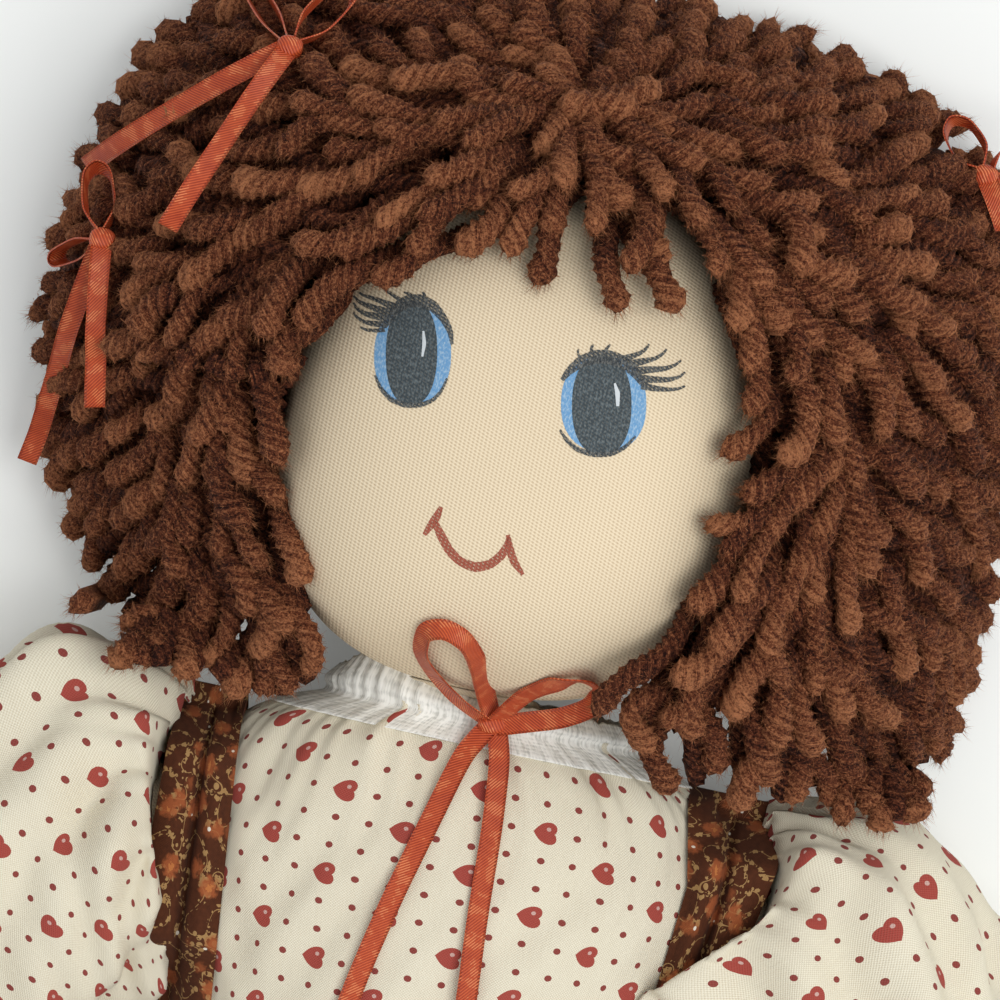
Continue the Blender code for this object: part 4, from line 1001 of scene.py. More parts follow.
def print_groups():
    """Shared effects: a plain weave, and the print of hearts and dots, both from places in metres."""
    weave = bpy.data.node_groups.new("plain_weave", "ShaderNodeTree")
    weave.interface.new_socket("Place", in_out="INPUT", socket_type="NodeSocketVector")
    weave.interface.new_socket("Height", in_out="OUTPUT", socket_type="NodeSocketFloat")
    start = weave.nodes.new("NodeGroupInput")
    end = weave.nodes.new("NodeGroupOutput")
    parts = add_node(weave, "ShaderNodeSeparateXYZ", {0: start.outputs[0]})
    warp = sums(weave, "SINE", sums(weave, "MULTIPLY", parts.outputs[0], 2 * math.pi / 0.00060))
    weft = sums(weave, "SINE", sums(weave, "MULTIPLY", parts.outputs[1], 2 * math.pi / 0.00064))
    slub = add_node(weave, "ShaderNodeMapping", {0: start.outputs[0], 3: (2600.0, 180.0, 1.0)})
    slubs = noise(weave, slub.outputs[0], 1.0, 1.0)
    both = sums(weave, "MULTIPLY", warp, weft)
    weave.links.new(sums(weave, "MULTIPLY_ADD", slubs.outputs[0], 0.6, both), end.inputs[0])
    hearts = bpy.data.node_groups.new("heart_print", "ShaderNodeTree")
    hearts.interface.new_socket("Place", in_out="INPUT", socket_type="NodeSocketVector")
    hearts.interface.new_socket("Hearts", in_out="OUTPUT", socket_type="NodeSocketFloat")
    hearts.interface.new_socket("Dots", in_out="OUTPUT", socket_type="NodeSocketFloat")
    hearts.interface.new_socket("Glints", in_out="OUTPUT", socket_type="NodeSocketFloat")
    start = hearts.nodes.new("NodeGroupInput")
    end = hearts.nodes.new("NodeGroupOutput")
    parts = add_node(hearts, "ShaderNodeSeparateXYZ", {0: start.outputs[0]})
    pitch = 0.0065
    u = sums(hearts, "DIVIDE", parts.outputs[0], pitch)
    v = sums(hearts, "DIVIDE", parts.outputs[1], pitch)
    cell_u = sums(hearts, "ROUND", u)
    cell_v = sums(hearts, "ROUND", v)
    local_u = sums(hearts, "SUBTRACT", u, cell_u)
    local_v = sums(hearts, "SUBTRACT", v, cell_v)
    third = sums(hearts, "FLOORED_MODULO", sums(hearts, "ADD", cell_u, cell_v), 3.0)
    sixth = sums(hearts, "FLOORED_MODULO", sums(hearts, "MULTIPLY_ADD", cell_v, 2.0,
                                                sums(hearts, "MULTIPLY", cell_u, -1.0)), 6.0)
    is_heart = sums(hearts, "MULTIPLY", sums(hearts, "COMPARE", third, 0.0, 0.1),
                    sums(hearts, "COMPARE", sixth, 0.0, 0.1))
    heart_size = 0.34
    x = sums(hearts, "DIVIDE", local_v, heart_size)
    y = sums(hearts, "DIVIDE", sums(hearts, "SUBTRACT", 0.04, local_u), heart_size)
    xx = sums(hearts, "MULTIPLY", x, x)
    ring = sums(hearts, "SUBTRACT", sums(hearts, "MULTIPLY_ADD", y, y, xx), 1.0)
    ring3 = sums(hearts, "MULTIPLY", sums(hearts, "MULTIPLY", ring, ring), ring)
    yyy = sums(hearts, "MULTIPLY", sums(hearts, "MULTIPLY", y, y), y)
    inside = sums(hearts, "SUBTRACT", ring3, sums(hearts, "MULTIPLY", xx, yyy))
    shape = sums(hearts, "LESS_THAN", inside, 0.0)
    hearts.links.new(sums(hearts, "MULTIPLY", shape, is_heart), end.inputs[0])
    radius = sums(hearts, "SQRT", sums(hearts, "MULTIPLY_ADD", local_u, local_u,
                                       sums(hearts, "MULTIPLY", local_v, local_v)))
    spot = sums(hearts, "LESS_THAN", radius, 0.115)
    hearts.links.new(sums(hearts, "MULTIPLY", spot, sums(hearts, "SUBTRACT", 1.0, is_heart)), end.inputs[1])
    glint_v = sums(hearts, "SUBTRACT", local_v, 0.14)
    glint_u = sums(hearts, "ADD", local_u, 0.12)
    glint = sums(hearts, "SQRT", sums(hearts, "MULTIPLY_ADD", glint_u, glint_u,
                                      sums(hearts, "MULTIPLY", glint_v, glint_v)))
    shine = sums(hearts, "LESS_THAN", glint, 0.07)
    hearts.links.new(sums(hearts, "MULTIPLY", shine, is_heart), end.inputs[2])
    return weave, hearts


plain_weave, heart_print = print_groups()


def woven_material(name, colour, shade, prints):
    """Plain cotton from its cloth coordinates, with or without the hearts and dots."""
    material, tree, shader = cloth_material(name, 0.9, sheen=0.03)
    coords = add_node(tree, "ShaderNodeTexCoord")
    weave = add_node(tree, "ShaderNodeGroup", {0: coords.outputs["UV"]}, node_tree=plain_weave)
    cloud = noise(tree, coords.outputs["Object"], 45.0)
    share = sums(tree, "MULTIPLY_ADD", weave.outputs[0], 0.60, sums(tree, "MULTIPLY", cloud.outputs[0], 0.4))
    base = mixed(tree, share, colour, shade)
    if prints:
        marks = add_node(tree, "ShaderNodeGroup", {0: coords.outputs["UV"]}, node_tree=heart_print)
        worn = sums(tree, "MULTIPLY_ADD", weave.outputs[0], -0.03, 0.98)
        red = sums(tree, "MULTIPLY", marks.outputs[0], worn)
        base = mixed(tree, red, base, (0.38, 0.056, 0.042, 1))
        base = mixed(tree, sums(tree, "MULTIPLY", marks.outputs[1], worn), base, (0.27, 0.045, 0.038, 1))
        base = mixed(tree, sums(tree, "MULTIPLY", marks.outputs[2], 0.6), base, (0.78, 0.62, 0.54, 1))
    tree.links.new(base, shader.inputs["Base Color"])
    raise_bumps(tree, shader, weave.outputs[0], 0.5, 0.00018)
    return material


heart_lawn = woven_material("heart_lawn", (0.90, 0.84, 0.67, 1), (0.68, 0.60, 0.44, 1), True)


def waves(angle, counts, seed):
    """Uneven folds: a sum of sine waves of the given counts round the ring, with chance phases."""
    phases = np.random.default_rng(seed).uniform(0, 2 * np.pi, len(counts))
    return sum(np.sin(count * angle + phase) for count, phase in zip(counts, phases)) / len(counts) ** 0.5


def bodice_half_sizes(down):
    """Half width and half depth of the dress: a wide drawn-in neckline that meets the trunk's own shape."""
    wide, deep = trunk_half_sizes(down + 0.004 * np.exp(-((np.asarray(down, float) - 0.012) / 0.010) ** 2))
    near = np.exp(-np.clip(np.asarray(down, float) - 0.0012, 0, 1) / 0.006)
    return (np.maximum(wide + 0.0013, 0.0380 * near + (wide + 0.0013) * (1 - near)),
            np.maximum(deep + 0.0013, 0.0220 * near + (deep + 0.0013) * (1 - near)))


def chest_lift(down, angle):
    """How far the gathered front swells out: narrow pleats at the neck, broad soft dents below."""
    down = down[:, None]
    front = np.clip((np.sin(angle) - 0.25) / 0.75, 0, 1) ** 0.6
    pleats = waves(angle + 0.15 * np.sin(down * 60), (36, 47, 61), 3) * 0.0009 * np.exp(-down / 0.020)
    folds = waves(angle + 0.35 * np.sin(down * 45 + 1), (9, 14, 21), 5) * 0.0011 * np.exp(-down / 0.080)
    dents = np.sin(down * 170 + 3 * np.sin(angle * 5)) * np.sin(angle * 11 + 2) * 0.0007
    close = np.clip((bodice_down - down) / 0.012, 0, 1)
    puff = 0.0011 * np.sin(np.clip(down / bodice_down, 0, 1) * np.pi) ** 0.5
    return (puff + pleats + folds + dents) * front * close


bodice_angle = np.linspace(0, 2 * np.pi, 300, endpoint=False)
down = np.linspace(0.0014, bodice_down, 120)
wide, deep = bodice_half_sizes(down)
swell = np.maximum(chest_lift(down, bodice_angle), -0.0007)
bodice_points = cross_rings(0, down, wide, deep, bodice_angle, swell)
flat_uv = np.stack(np.meshgrid(np.linspace(0, 0.32, 301), 0.31 - down), -1)
bodice = cloth_shell("bodice_lawn", bodice_points, heart_lawn, uv=flat_uv)
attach(bodice, "torso")
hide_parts("dress_bodice")

# Neck tape. A white crinkled tape with a raw edge is sewn round the neckline, thin enough for the
# print to show through; its threads run up and down like a ladder.
tape_material, tree, shader = cloth_material("white_tape", 0.9, sheen=0.03)
coords = add_node(tree, "ShaderNodeTexCoord")
parts = add_node(tree, "ShaderNodeSeparateXYZ", {0: coords.outputs["UV"]})
ladder_place = add_node(tree, "ShaderNodeMapping", {0: coords.outputs["UV"], 3: (1500.0, 170.0, 1.0)})
ladder = noise(tree, ladder_place.outputs[0], 1.0)
cross = sums(tree, "SINE", sums(tree, "MULTIPLY", parts.outputs[1], 2 * math.pi / 0.0016))
fine = noise(tree, coords.outputs["UV"], 900.0, 3.0)
threads = sums(tree, "MULTIPLY_ADD", cross, 0.05, sums(tree, "MULTIPLY", fine.outputs[0], 0.5))
threads = sums(tree, "MULTIPLY_ADD", ladder.outputs[0], 0.9, threads)
base = mixed(tree, threads, (0.80, 0.78, 0.69, 1), (0.98, 0.97, 0.91, 1))
tree.links.new(base, shader.inputs["Base Color"])
clear_share = add_node(tree, "ShaderNodeMapRange", {0: threads, 1: 0.50, 2: 0.76, 3: 0.60, 4: 1.0})
tree.links.new(clear_share.outputs[0], shader.inputs["Alpha"])
raise_bumps(tree, shader, threads, 0.5, 0.0003)
down = np.linspace(-0.0030, 0.0080, 22)
wide, deep = bodice_half_sizes(down)
frayed = 0.0003 * waves(bodice_angle, (31, 50, 71), 9) * np.exp(-(down[:, None] + 0.003) / 0.0012)
swell = np.maximum(chest_lift(down, bodice_angle), -0.0006)
lift = 0.0011 + 0.4 * swell + 0.00015 * waves(bodice_angle, (44, 63), 8)
lift = np.maximum(lift, 0.0004) - 0.0028 * np.clip(-down[:, None] / 0.003, 0, 1)
tape_points = cross_rings(0, down, wide, deep, bodice_angle, lift)
tape_points[..., 1] += frayed
raised = np.exp(-((bodice_angle - 2.35) / 0.42) ** 2) * np.clip((0.002 - down[:, None]) / 0.005, 0, 1)
tape_points[..., 1] += 0.0062 * raised
tape_points[..., 2] += 0.0010 * raised
tape = cloth_shell("tape_white", tape_points, tape_material, thick=0.0003)
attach(tape, "torso")
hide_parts("neck_tape")

# Pinafore straps and waistband. Brown calico with small flowers, leaf sprigs and white dots; each
# strap is folded double, so an inner roll and an outer band run side by side with a slit between.
def calico_material():
    """Dark brown cotton printed with orange-red flowers, tan leaf sprigs and white dots."""
    material, tree, shader = cloth_material("brown_calico", 0.9, sheen=0.02)
    coords = add_node(tree, "ShaderNodeTexCoord")
    place = coords.outputs["UV"]
    weave = add_node(tree, "ShaderNodeGroup", {0: place}, node_tree=plain_weave)
    wide_noise = noise(tree, place, 700.0)
    moved = add_node(tree, "ShaderNodeVectorMath", {0: wide_noise.outputs["Color"], 1: (0.0042, 0.0042, 0.0)},
                     operation="MULTIPLY_ADD")
    tree.links.new(place, moved.inputs[2])
    flowers = add_node(tree, "ShaderNodeTexVoronoi", {"Vector": moved.outputs[0], "Scale": 125.0})
    flower = add_node(tree, "ShaderNodeMapRange",
                      {0: flowers.outputs["Distance"], 1: 0.24, 2: 0.40, 3: 1.0, 4: 0.0}).outputs[0]
    heart_of = sums(tree, "LESS_THAN", flowers.outputs["Distance"], 0.10)
    vine = noise(tree, place, 150.0, 0.0)
    off_vine = sums(tree, "ABSOLUTE", sums(tree, "SUBTRACT", vine.outputs[0], 0.5))
    buds = add_node(tree, "ShaderNodeTexVoronoi", {"Vector": place, "Scale": 520.0, "Randomness": 0.7})
    bud = sums(tree, "MULTIPLY", sums(tree, "LESS_THAN", buds.outputs["Distance"], 0.44),
               sums(tree, "LESS_THAN", off_vine, 0.085))
    leaf = sums(tree, "MAXIMUM", bud, sums(tree, "LESS_THAN", off_vine, 0.009))
    leaf = sums(tree, "MULTIPLY", leaf, sums(tree, "GREATER_THAN", wide_noise.outputs[0], 0.42))
    spots = add_node(tree, "ShaderNodeTexVoronoi", {"Vector": place, "Scale": 190.0, "Randomness": 0.8})
    spot = sums(tree, "LESS_THAN", spots.outputs["Distance"], 0.10)
    base = mixed(tree, wide_noise.outputs[0], (0.050, 0.016, 0.008, 1), (0.11, 0.034, 0.014, 1))
    base = mixed(tree, sums(tree, "MULTIPLY", leaf, 0.85), base, (0.42, 0.25, 0.10, 1))
    base = mixed(tree, sums(tree, "MULTIPLY", flower, 0.85), base, (0.36, 0.10, 0.035, 1))
    base = mixed(tree, sums(tree, "MULTIPLY", heart_of, 0.7), base, (0.55, 0.20, 0.06, 1))
    base = mixed(tree, sums(tree, "MULTIPLY", spot, 0.9), base, (0.80, 0.74, 0.62, 1))
    tree.links.new(base, shader.inputs["Base Color"])
    raise_bumps(tree, shader, weave.outputs[0], 0.4, 0.00010)
    return material


brown_calico = calico_material()


def on_dress(x, down, lift):
    """A point on the front or over the shoulder: the dress's surface at a place across the chest."""
    wide, deep = bodice_half_sizes(down)
    angle = np.arccos(np.clip(x / (wide + 0.001), -1, 1))
    height = trunk_z + (deep + lift) * np.sin(angle)
    return np.stack([(wide + lift) * np.cos(angle), neck_y - down, height], -1)


inner_edge = {"right": ((0.012, 0.073, 0.092), (0.0560, 0.0495, 0.0475)),
              "left": ((0.012, 0.030, 0.092), (0.0500, 0.0535, 0.0478))}
outer_edge = {"right": ((0.012, 0.070, 0.092), (0.0715, 0.0700, 0.0630)),
              "left": ((0.012, 0.040, 0.092), (0.0750, 0.0700, 0.0630))}
strap_rows = 110
strap_columns = 40
strap_end = 0.0918
strap_turn = 0.0125
strap_top = 0.0075
shoulder_level = 0.0118
front_share = 0.40
across = np.linspace(0, 1, strap_columns)
roll = 0.0010 + 0.0030 * np.sin(np.pi * across) ** 0.4 + 0.0026 * np.exp(-((across - 0.22) / 0.13) ** 2)
roll = roll + 0.0010 * np.exp(-((across - 0.76) / 0.20) ** 2)
roll = roll - 0.0042 * np.exp(-((across - 0.46) / 0.045) ** 2)
for side, sign in (("left", 1), ("right", -1)):
    points = np.zeros((strap_rows, strap_columns, 3))
    for row, share in enumerate(np.linspace(0, 1, strap_rows)):
        turn_share = np.clip((share - front_share) / 0.20, 0, 1)
        level = np.interp(share, [0, front_share, 0.5, 0.60, 1],
                          [strap_end, strap_turn, strap_top, strap_turn, strap_end])
        inner_x = np.interp(level, *inner_edge[side])
        x = inner_x + (np.interp(level, *outer_edge[side]) - inner_x) * across
        wide, deep = bodice_half_sizes(np.array(max(level, shoulder_level)))
        tilt = np.arccos(np.clip(x / (wide + 0.0022), -1, 1))
        reach = np.sin(tilt) * np.cos(np.pi * turn_share)
        points[row, :, 0] = sign * x
        points[row, :, 1] = neck_y - level
        over_root = 0.0172 * np.clip((front_share - share) / 0.05, 0, 1)
        over_root = over_root * np.clip((0.078 - level) / 0.012, 0, 1)
        support = over_root - 0.0020 + (roll if share < front_share else -1)
        points[row, :, 2] = trunk_z + np.maximum((deep + roll) * reach, support)
    strap = cloth_shell("calico_strap_" + side, points, brown_calico, wrap=False, turned=sign < 0)
    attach(strap, "torso")
    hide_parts("strap_" + side)
band_rows = 16
band_top = 0.0925
band_low = 0.1055
down = np.linspace(band_top, band_low, band_rows)
wide, deep = bodice_half_sizes(down)
hemmed = 0.0004 * np.sin(np.pi * np.linspace(0, 1, band_rows))[:, None] ** 0.5
band_points = cross_rings(0, down, wide, deep, bodice_angle, 0.0016 + hemmed)
band = cloth_shell("calico_band", band_points, brown_calico)
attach(band, "torso")
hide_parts("waistband")

# Neck bow. The same rust ribbon is tied at the neckline; the loops stand up against the chin and the
# two long tails lie on the chest down to the waist.
knot = box_middle("neck_bow_knot")
knot_form("neck_bow_knot", "torso", knot, (0.0070, 0.0050, 0.0045))
loop_right = ((0, 0), (-0.0030, 0.0062), (-0.0062, 0.0135), (-0.0100, 0.0182), (-0.0150, 0.0200),
              (-0.0195, 0.0185), (-0.0196, 0.0130), (-0.0150, 0.0080), (-0.0085, 0.0032), (-0.0015, 0.0002))
loop_left = ((0, 0), (0.0055, 0.0085), (0.0120, 0.0130), (0.0180, 0.0150), (0.0225, 0.0125), (0.0212, 0.0082),
             (0.0150, 0.0045), (0.0080, 0.0022), (0.0010, -0.0003))


def on_chin(x, y, lift):
    """A point in front of the neckline or of the chin, whichever stands higher there."""
    chin = float(head_front(np.array(x), np.array(max(y, neck_y + 0.0048)), 0.0))
    return np.array([x, y, max(chin if y > neck_y + 0.002 else 0.0, knot[2]) + lift])


for name, route, upright in (
    ("neck_bow_loop_right", loop_right, 0.8),
    ("neck_bow_loop_left", loop_left, 0.45),
):
    spots = [knot]
    for index, (x, y) in enumerate(route[1:-1]):
        rise = 0.0026 + 0.0022 * math.sin(math.pi * (index + 1) / 8)
        spots.append(on_chin(knot[0] + x, knot[1] + y, rise))
    spots.append(knot + np.array([route[-1][0], route[-1][1], 0.0006]))
    spots = np.array(spots)
    run = np.gradient(spots, axis=0)
    run /= np.linalg.norm(run, axis=1, keepdims=True)
    facing = np.array([0, -0.45, 0.89])
    sides = np.cross(facing, run) + upright * facing
    loop = ribbon(name, None, spots, sides, count=100)
    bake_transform(loop)
tail_right = ((-0.0035, 0.010), (-0.0075, 0.026), (-0.0125, 0.046), (-0.0165, 0.066), (-0.0195, 0.090))
tail_left = ((0.0048, 0.010), (0.0062, 0.026), (0.0070, 0.046), (0.0085, 0.066), (0.0098, 0.090))
for name, route in (("neck_bow_tail_right", tail_right), ("neck_bow_tail_left", tail_left)):
    spots = [knot + [0.3 * route[0][0], -0.0015, 0.0004 if "left" in name else -0.0002]]
    for x, level in route:
        spots.append(on_dress(np.array(x), np.array(level), 0.0030))
    ribbon(name, "torso", spots, [(1, 0.1, 0.2), (1, 0, 0.1), (1, 0, -0.12), (1, 0, 0.1)], count=120)

# Puffed sleeves. The same printed lawn, gathered tightly into the armhole so that it puffs out and
# back over the strap, full and soft to the elbow, and drawn in again at the wrist with a small frill.
armhole_x = 0.0675
armhole_y = neck_y - 0.0390
armhole_tilt = math.radians(12)
arm_hang = math.radians(32)
sleeve_length = 0.109
sleeve_steps = (0.110, 0.165, 0.202, 0.202, 0.147, 0.101, 0.073)
sleeve_headings = (0.32, 0.66, 0.90, 1.0, 1.0, 1.0, 1.0)
fold_depth = 0.0034


def arm_centres(sign, step_shares, heading_shares, length, start, count):
    """Points and directions along an arm that leaves the armhole squarely and turns down to the hand."""
    shares = np.concatenate([[0], np.cumsum(step_shares)])
    shares = shares / shares[-1]
    headings = np.concatenate([[0], heading_shares])
    even = np.linspace(0, 1, count)
    heading = np.interp(even, shares, headings)
    for repeat in range(12):
        heading[1:-1] = (heading[:-2] + 2 * heading[1:-1] + heading[2:]) / 4
    angle = -armhole_tilt + (arm_hang - math.pi / 2 + armhole_tilt) * heading
    way = np.stack([sign * np.cos(angle), np.sin(angle), 0 * angle], -1)
    steps = (way[1:] + way[:-1]) / 2 * length / (count - 1)
    places = np.concatenate([[[0, 0, 0]], np.cumsum(steps, 0)])
    return even, np.array(start) + places, way


def sleeve_points(sign, seed, over_strap, low_turn):
    """Rings of the sleeve; the full rings near the armhole lean in over the strap at the front."""
    start = (sign * armhole_x, armhole_y, trunk_z)
    even, centres, way = arm_centres(sign, sleeve_steps, sleeve_headings, sleeve_length, start, 90)
    down_arm = even[:, None]
    angle = np.linspace(0, 2 * np.pi, 190, endpoint=False)
    knots = np.array([0, 0.025, 0.07, 0.13, 0.25, 0.42, 0.60, 0.76, 0.87, 0.93, 0.96, 1.0])
    swell = np.array([0.0265, 0.0310, 0.0360, 0.0392, 0.0412, 0.0414, 0.0385, 0.0315, 0.0228, 0.0168,
                      0.0165, 0.0240])
    radius = curve(even, knots, swell)[:, None]
    front = np.clip(np.cos(angle - np.pi / 2 + low_turn), 0, 1)
    seam = np.exp(-(down_arm / 0.035) ** 2)
    ends = np.exp(-down_arm / 0.07) + 0.55 * np.exp(-(1 - down_arm) / 0.10)
    pleats = waves(angle, (15, 22, 29), seed) * 0.0027 * np.clip(ends, 0, 1)
    folds = waves(angle + 1.2 * down_arm, (5, 8, 11), seed + 1) * fold_depth
    dents = waves(angle * 3 + 9 * down_arm, (2, 3), seed + 2)
    dents = dents * waves(down_arm * 11, (1, 2), seed + 3) * fold_depth
    radius = radius + pleats + (folds + dents) * np.clip(1.2 - ends, 0.2, 1)
    inward = np.clip(-np.cos(angle), 0, 1) ** 2
    radius = radius + 0.0055 * inward * np.exp(-((down_arm - 0.12) / 0.16) ** 2)
    lean = over_strap * front ** 2.2 * np.exp(-((down_arm - 0.085) / 0.07) ** 2)
    root = np.exp(-(down_arm / 0.022) ** 2)
    at_front = np.clip(np.sin(angle), 0, 1) ** 2
    hem = 0.0050 + 0.0050 * np.sin(angle) ** 2 - 0.0150 * at_front
    lean = lean + hem * np.exp(-(down_arm / 0.026) ** 2)
    out = np.cross(way, [0, 0, 1.0])
    flatness = 0.76 + 0.24 * seam
    deep = np.maximum(radius * flatness, np.where(down_arm > 0.8, 0.0158, 0.0175))
    deep = deep * (1 - 0.50 * root)
    points = (centres[:, None] + out[:, None] * (radius * np.cos(angle) * sign)[..., None]
              - way[:, None] * (lean + 0 * angle)[..., None])
    points[..., 2] += deep * np.sin(angle)
    height = points[..., 2]
    settled = 0.0012 + 0.0048 * np.exp((height - 0.006) / 0.0048)
    points[..., 2] = np.where(height < 0.006, settled, height)
    return points


for side, sign, over_strap, low_turn, seed in (
    ("left", 1, 0.020, 0.85, 21),
    ("right", -1, 0.001, 0.2, 31),
):
    points = sleeve_points(sign, seed, over_strap, low_turn)
    around = np.linspace(0, 0.235, points.shape[1] + 1)
    along = np.concatenate([[0], np.cumsum(np.linalg.norm(np.diff(points, axis=0), axis=2).mean(1))])
    sleeve_uv = np.stack(np.meshgrid(around, along), -1)[..., ::-1]
    sleeve = cloth_shell("sleeve_lawn_" + side, points, heart_lawn, uv=sleeve_uv, turned=True)
    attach(sleeve, "arm_" + side)
    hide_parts("sleeve_" + side)

# Arms. Stuffed tubes of body knit sewn into the armholes; the hand is a plain mitten, a little wider
# than the wrist and rounded at its tip.
arm_length = 0.1665
arm_half = 0.017
arm_steps = (0.02, 0.115, 0.128, 0.167, 0.192, 0.167, 0.077, 0.090, 0.064, 0.040)
arm_headings = (0.0, 0.45, 0.85, 1.0, 1.0, 1.0, 1.0, 1.0, 1.0, 1.0)
for side, sign in (("left", 1), ("right", -1)):
    start = (sign * (armhole_x - 0.0035), armhole_y + 0.0007, trunk_z)
    even, centres, way = arm_centres(sign, arm_steps, arm_headings, arm_length, start, 90)
    knots = np.array([0, 0.02, 0.12, 0.24, 0.39, 0.56, 0.72, 0.80, 0.88, 0.95, 0.985, 1.0])
    thick = arm_half * np.array([0.52, 0.62, 0.96, 1.0, 0.94, 0.88, 0.84, 0.98, 1.0, 0.80, 0.48, 0.10])
    radius = curve(even, knots, thick)[:, None]
    angle = np.linspace(0, 2 * np.pi, 72, endpoint=False)
    out = np.cross(way, [0, 0, 1.0])
    points = centres[:, None] + out[:, None] * (radius * np.cos(angle) * sign)[..., None]
    points[..., 2] += (radius * np.sin(angle)) * (1 - 0.22 * np.clip((even[:, None] - 0.75) / 0.2, 0, 1))
    arm = closed_form("arm_soft_" + side, points[:, ::-1], body_knit)
    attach(arm, "arm_" + side)
    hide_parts("arm_skin_" + side, "arm_stuffing_" + side)

# Skirts. The dress's skirt and the shorter pinafore skirt over it are gathered rectangles that hang
# from the waist in deep uneven folds. Each is two panels, seamed in front and behind.
skirt_top = 0.1060
leg_x = 0.031
print_shift = np.array([0.41, 0.07])
for name, cloth, kind, hem, half_wide, half_deep, first_lift, floor in (
    ("dress_skirt", heart_lawn, "heart_print", 0.300, 0.0856, 0.0326, 0.0, 0.0022),
    ("pinafore_skirt", brown_calico, "calico", 0.286, 0.0880, 0.0350, 0.0013, 0.0009),
):
    for side, sign in (("left", 1), ("right", -1)):
        angle = -np.pi / 2 + np.linspace(0, np.pi, 140)
        drop = np.linspace(0, 1, 64)
        level = skirt_top + (hem - skirt_top) * drop
        wide, deep = (float(part) for part in bodice_half_sizes(np.array(skirt_top)))
        swell = curve(drop, np.array([0, 0.12, 0.42, 1.0]), np.array([0, 0.42, 0.72, 1.0]))
        across = wide + first_lift + (half_wide - wide - first_lift) * swell
        over = deep + first_lift + (half_deep - deep - first_lift) * swell
        closed = np.clip(np.cos(angle) / 0.10, 0, 1)
        gathers = waves(angle, (30, 41, 53), 43) * 0.0007 * np.exp(-drop[:, None] / 0.10)
        folds = (1 + waves(angle, (8, 11, 13), 44)) / 2 * 0.0045 * swell[:, None]
        hem_wave = 0.0008 * waves(angle, (17, 23), 45) * drop[:, None] ** 3
        lift = (gathers + folds + hem_wave) * closed
        points = np.stack([
            sign * ((across[:, None] + lift) * np.cos(angle)),
            neck_y - level[:, None] + 0.0 * angle,
            trunk_z + (over[:, None] + lift) * np.sin(angle),
        ], -1)
        height = points[..., 2]
        settled = floor + 0.004 * np.exp((height - floor - 0.004) / 0.004)
        points[..., 2] = np.where(height < floor + 0.004, settled, height)
        panel_uv = arc_uv(points, False)
        if sign < 0:
            panel_uv = print_shift + panel_uv * [-1, 1]
        panel_name = name + "_panel_" + side
        panel = cloth_shell(panel_name, points, cloth, wrap=False, uv=panel_uv, turned=sign < 0)
        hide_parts(name)
        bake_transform(panel)

# Legs. Stuffed tubes of body knit, flat where they are sewn into the hip seam, slimmer at the ankle.
leg_length = 0.208
leg_half = 0.0235
hip_y = sum(point[1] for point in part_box("hip_seam_left")) / 2
for side, sign in (("left", 1), ("right", -1)):
    share = np.linspace(0.0075, 1.0, 90)
    knots = np.array([0.0075, 0.082, 0.165, 0.350, 0.560, 0.700, 0.860, 1.0])
    wide = leg_half * curve(share, knots, np.array([0.90, 0.94, 1.0, 0.97, 0.84, 0.88, 0.80, 0.70]))
    deep = leg_half * curve(share, knots, np.array([0.065, 0.70, 0.97, 0.97, 0.84, 0.88, 0.80, 0.70]))
    angle = np.linspace(0, 2 * np.pi, 72, endpoint=False)
    points = cross_rings(sign * leg_x, neck_y - hip_y + share * leg_length, wide, deep, angle)
    leg = closed_form("leg_soft_" + side, points, body_knit)
    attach(leg, "leg_" + side)
    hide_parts("leg_skin_" + side, "leg_stuffing_" + side)

# Drawers. White cotton legs, full at the thigh, drawn in with elastic below the knee, with a frill.
drawers_top = 0.036
drawers_hem = 0.168
white_cotton = woven_material("white_cotton", (0.84, 0.83, 0.79, 1), (0.70, 0.69, 0.65, 1), False)
for side, sign in (("left", 1), ("right", -1)):
    share = np.linspace(0, 1, 90)
    level = drawers_top + share * (drawers_hem - drawers_top)
    knots = np.array([0, 0.25, 0.55, 0.78, 0.88, 0.905, 1.0])
    radius = curve(share, knots, np.array([0.0262, 0.0280, 0.0280, 0.0262, 0.0222, 0.0216, 0.0250]))[:, None]
    angle = np.linspace(0, 2 * np.pi, 160, endpoint=False)
    tight = np.exp(-((share[:, None] - 0.89) / 0.10) ** 2)
    gathers = waves(angle, (17, 23, 29), 51 + sign) * 0.0007 * tight
    soft = waves(angle + share[:, None], (3, 5, 7), 55 + sign) * 0.0006 * (1 - tight)
    frill = waves(angle, (9, 11), 57 + sign) * 0.0018 * np.clip((share[:, None] - 0.90) / 0.10, 0, 1)
    radius = radius + gathers + soft + frill
    points = np.stack([sign * leg_x + radius * np.cos(angle),
                       hip_y - level[:, None] + 0 * angle,
                       trunk_z + radius * np.sin(angle)], -1)
    points[..., 2] = np.maximum(points[..., 2], 0.0028)
    drawers = cloth_shell("drawers_soft_" + side, points, white_cotton)
    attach(drawers, "leg_" + side)
    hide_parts("drawers_leg_" + side)

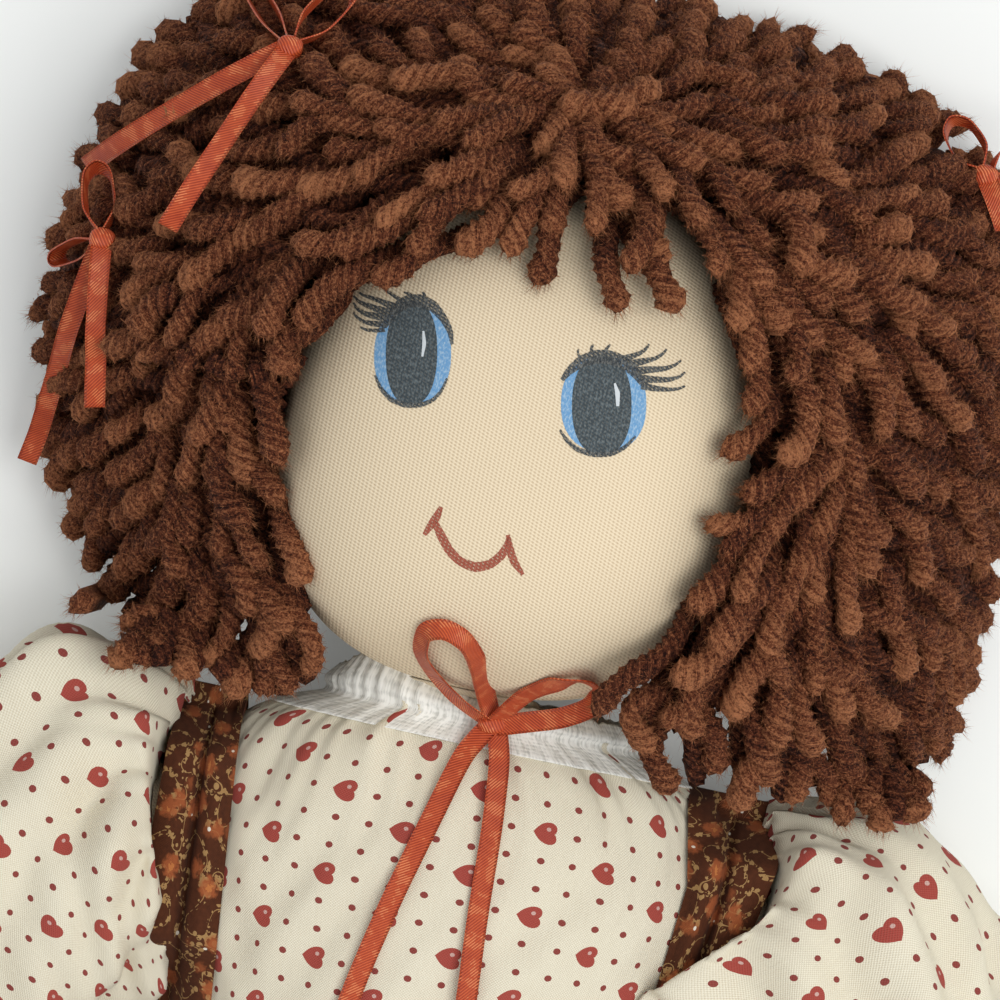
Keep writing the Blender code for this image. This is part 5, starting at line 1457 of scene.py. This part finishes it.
# Boots. Brown felt, cut in two halves and sewn round a stuffed foot, with a cuff sewn to the ankle.
foot_wide = 0.017
foot_thick = 0.0135
foot_tall = 0.0536
cuff_half = 0.01645
felt, tree, shader = cloth_material("brown_felt", 0.95, sheen=0.3)
coords = add_node(tree, "ShaderNodeTexCoord")
fluff = noise(tree, coords.outputs["Object"], 1400.0, 4.0)
patch = noise(tree, coords.outputs["Object"], 90.0, 3.0)
tone = sums(tree, "MULTIPLY_ADD", fluff.outputs[0], 0.6, sums(tree, "MULTIPLY", patch.outputs[0], 0.5))
base = mixed(tree, tone, (0.040, 0.016, 0.009, 1), (0.115, 0.048, 0.026, 1))
tree.links.new(base, shader.inputs["Base Color"])
raise_bumps(tree, shader, fluff.outputs[0], 0.5, 0.0004)
for side, sign in (("left", 1), ("right", -1)):
    low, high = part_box("boot_" + side)
    foot_y = low[1] + foot_thick
    rise = np.linspace(0, 1, 60)
    knots = np.array([0, 0.03, 0.12, 0.36, 0.66, 0.88, 0.97, 1.0])
    wide = foot_wide * curve(rise, knots, np.array([0.30, 0.68, 0.92, 1.0, 1.0, 0.82, 0.46, 0.10]))
    thick = foot_thick * curve(rise, knots, np.array([0.30, 0.70, 0.92, 1.0, 0.94, 0.78, 0.46, 0.10]))
    angle = np.linspace(0, 2 * np.pi, 64, endpoint=False)
    points = np.stack([
        sign * leg_x + wide[:, None] * np.cos(angle),
        foot_y + thick[:, None] * np.sin(angle),
        np.repeat((0.0003 + rise * foot_tall)[:, None], 64, 1),
    ], -1)
    foot = closed_form("boot_foot_" + side, points, felt)
    cuff_y = np.linspace(high[1] - 0.0003, foot_y, 30)
    girth = cuff_half * (1 + 0.05 * np.sin(np.linspace(0, 2.6, 30)) - 0.10 * np.linspace(0, 1, 30) ** 2)
    points = np.stack([
        sign * leg_x + girth[:, None] * np.cos(angle),
        np.repeat(cuff_y[:, None], 64, 1),
        trunk_z + girth[:, None] * np.sin(angle),
    ], -1)
    cuff = closed_form("boot_cuff_" + side, points, felt)
    for piece in (foot, cuff):
        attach(piece, "leg_" + side)
        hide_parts("boot_" + side)

# Table, light and camera. The doll lies on a plain pale table under one broad soft light, and the
# camera looks straight down on the face, turned by 12 degrees as in the photograph.
table_reach = 15
camera_height = 1.05
view_half = 0.11
floor_material = bpy.data.materials.new("pale_table")
floor_material.use_nodes = True
tree = floor_material.node_tree
shader = tree.nodes["Principled BSDF"]
shader.inputs["Base Color"].default_value = (0.86, 0.87, 0.84, 1)
shader.inputs["Roughness"].default_value = 0.8
shader.inputs["Emission Color"].default_value = (0.86, 0.88, 0.86, 1)
seen = add_node(tree, "ShaderNodeLightPath")
seen_glow = sums(tree, "MULTIPLY", seen.outputs["Is Camera Ray"], 0.13)
tree.links.new(seen_glow, shader.inputs["Emission Strength"])
table_points = [(-table_reach, -table_reach, 0), (table_reach, -table_reach, 0),
                (table_reach, table_reach, 0), (-table_reach, table_reach, 0)]
table = build_mesh("table_top", table_points, [(0, 1, 2, 3)], floor_material)
world = bpy.data.worlds.new("soft_room")
bpy.context.scene.world = world
world.use_nodes = True
world.node_tree.nodes["Background"].inputs[0].default_value = (0.95, 0.97, 1.0, 1)
world.node_tree.nodes["Background"].inputs[1].default_value = 0.66


def soft_light(name, place, aim, size, power):
    """A broad square light at a place, facing a point."""
    lamp = bpy.data.lights.new(name, "AREA")
    lamp.size = size
    lamp.energy = power
    holder = bpy.data.objects.new(name, lamp)
    holder.location = place
    way = np.array(aim, float) - np.array(place, float)
    tilt = math.acos(-way[2] / np.linalg.norm(way))
    holder.rotation_euler = (tilt, 0, math.atan2(way[0], -way[1]) + math.pi)
    bpy.context.collection.objects.link(holder)


soft_light("window", (0.50, 0.10, 1.15), (0, 0.15, 0.05), 0.7, 7.5)
camera_data = bpy.data.cameras.new("camera")
camera_data.angle = 2 * math.atan(view_half / camera_height)
camera = bpy.data.objects.new("camera", camera_data)
aim_x, aim_y = photo_to_face(500, 500)
camera.location = (float(aim_x), float(aim_y), head_z + head_deep + camera_height)
camera.rotation_euler = (0, 0, math.radians(photo_roll))
bpy.context.collection.objects.link(camera)
bpy.context.scene.camera = camera
bpy.context.scene.view_settings.view_transform = "Standard"
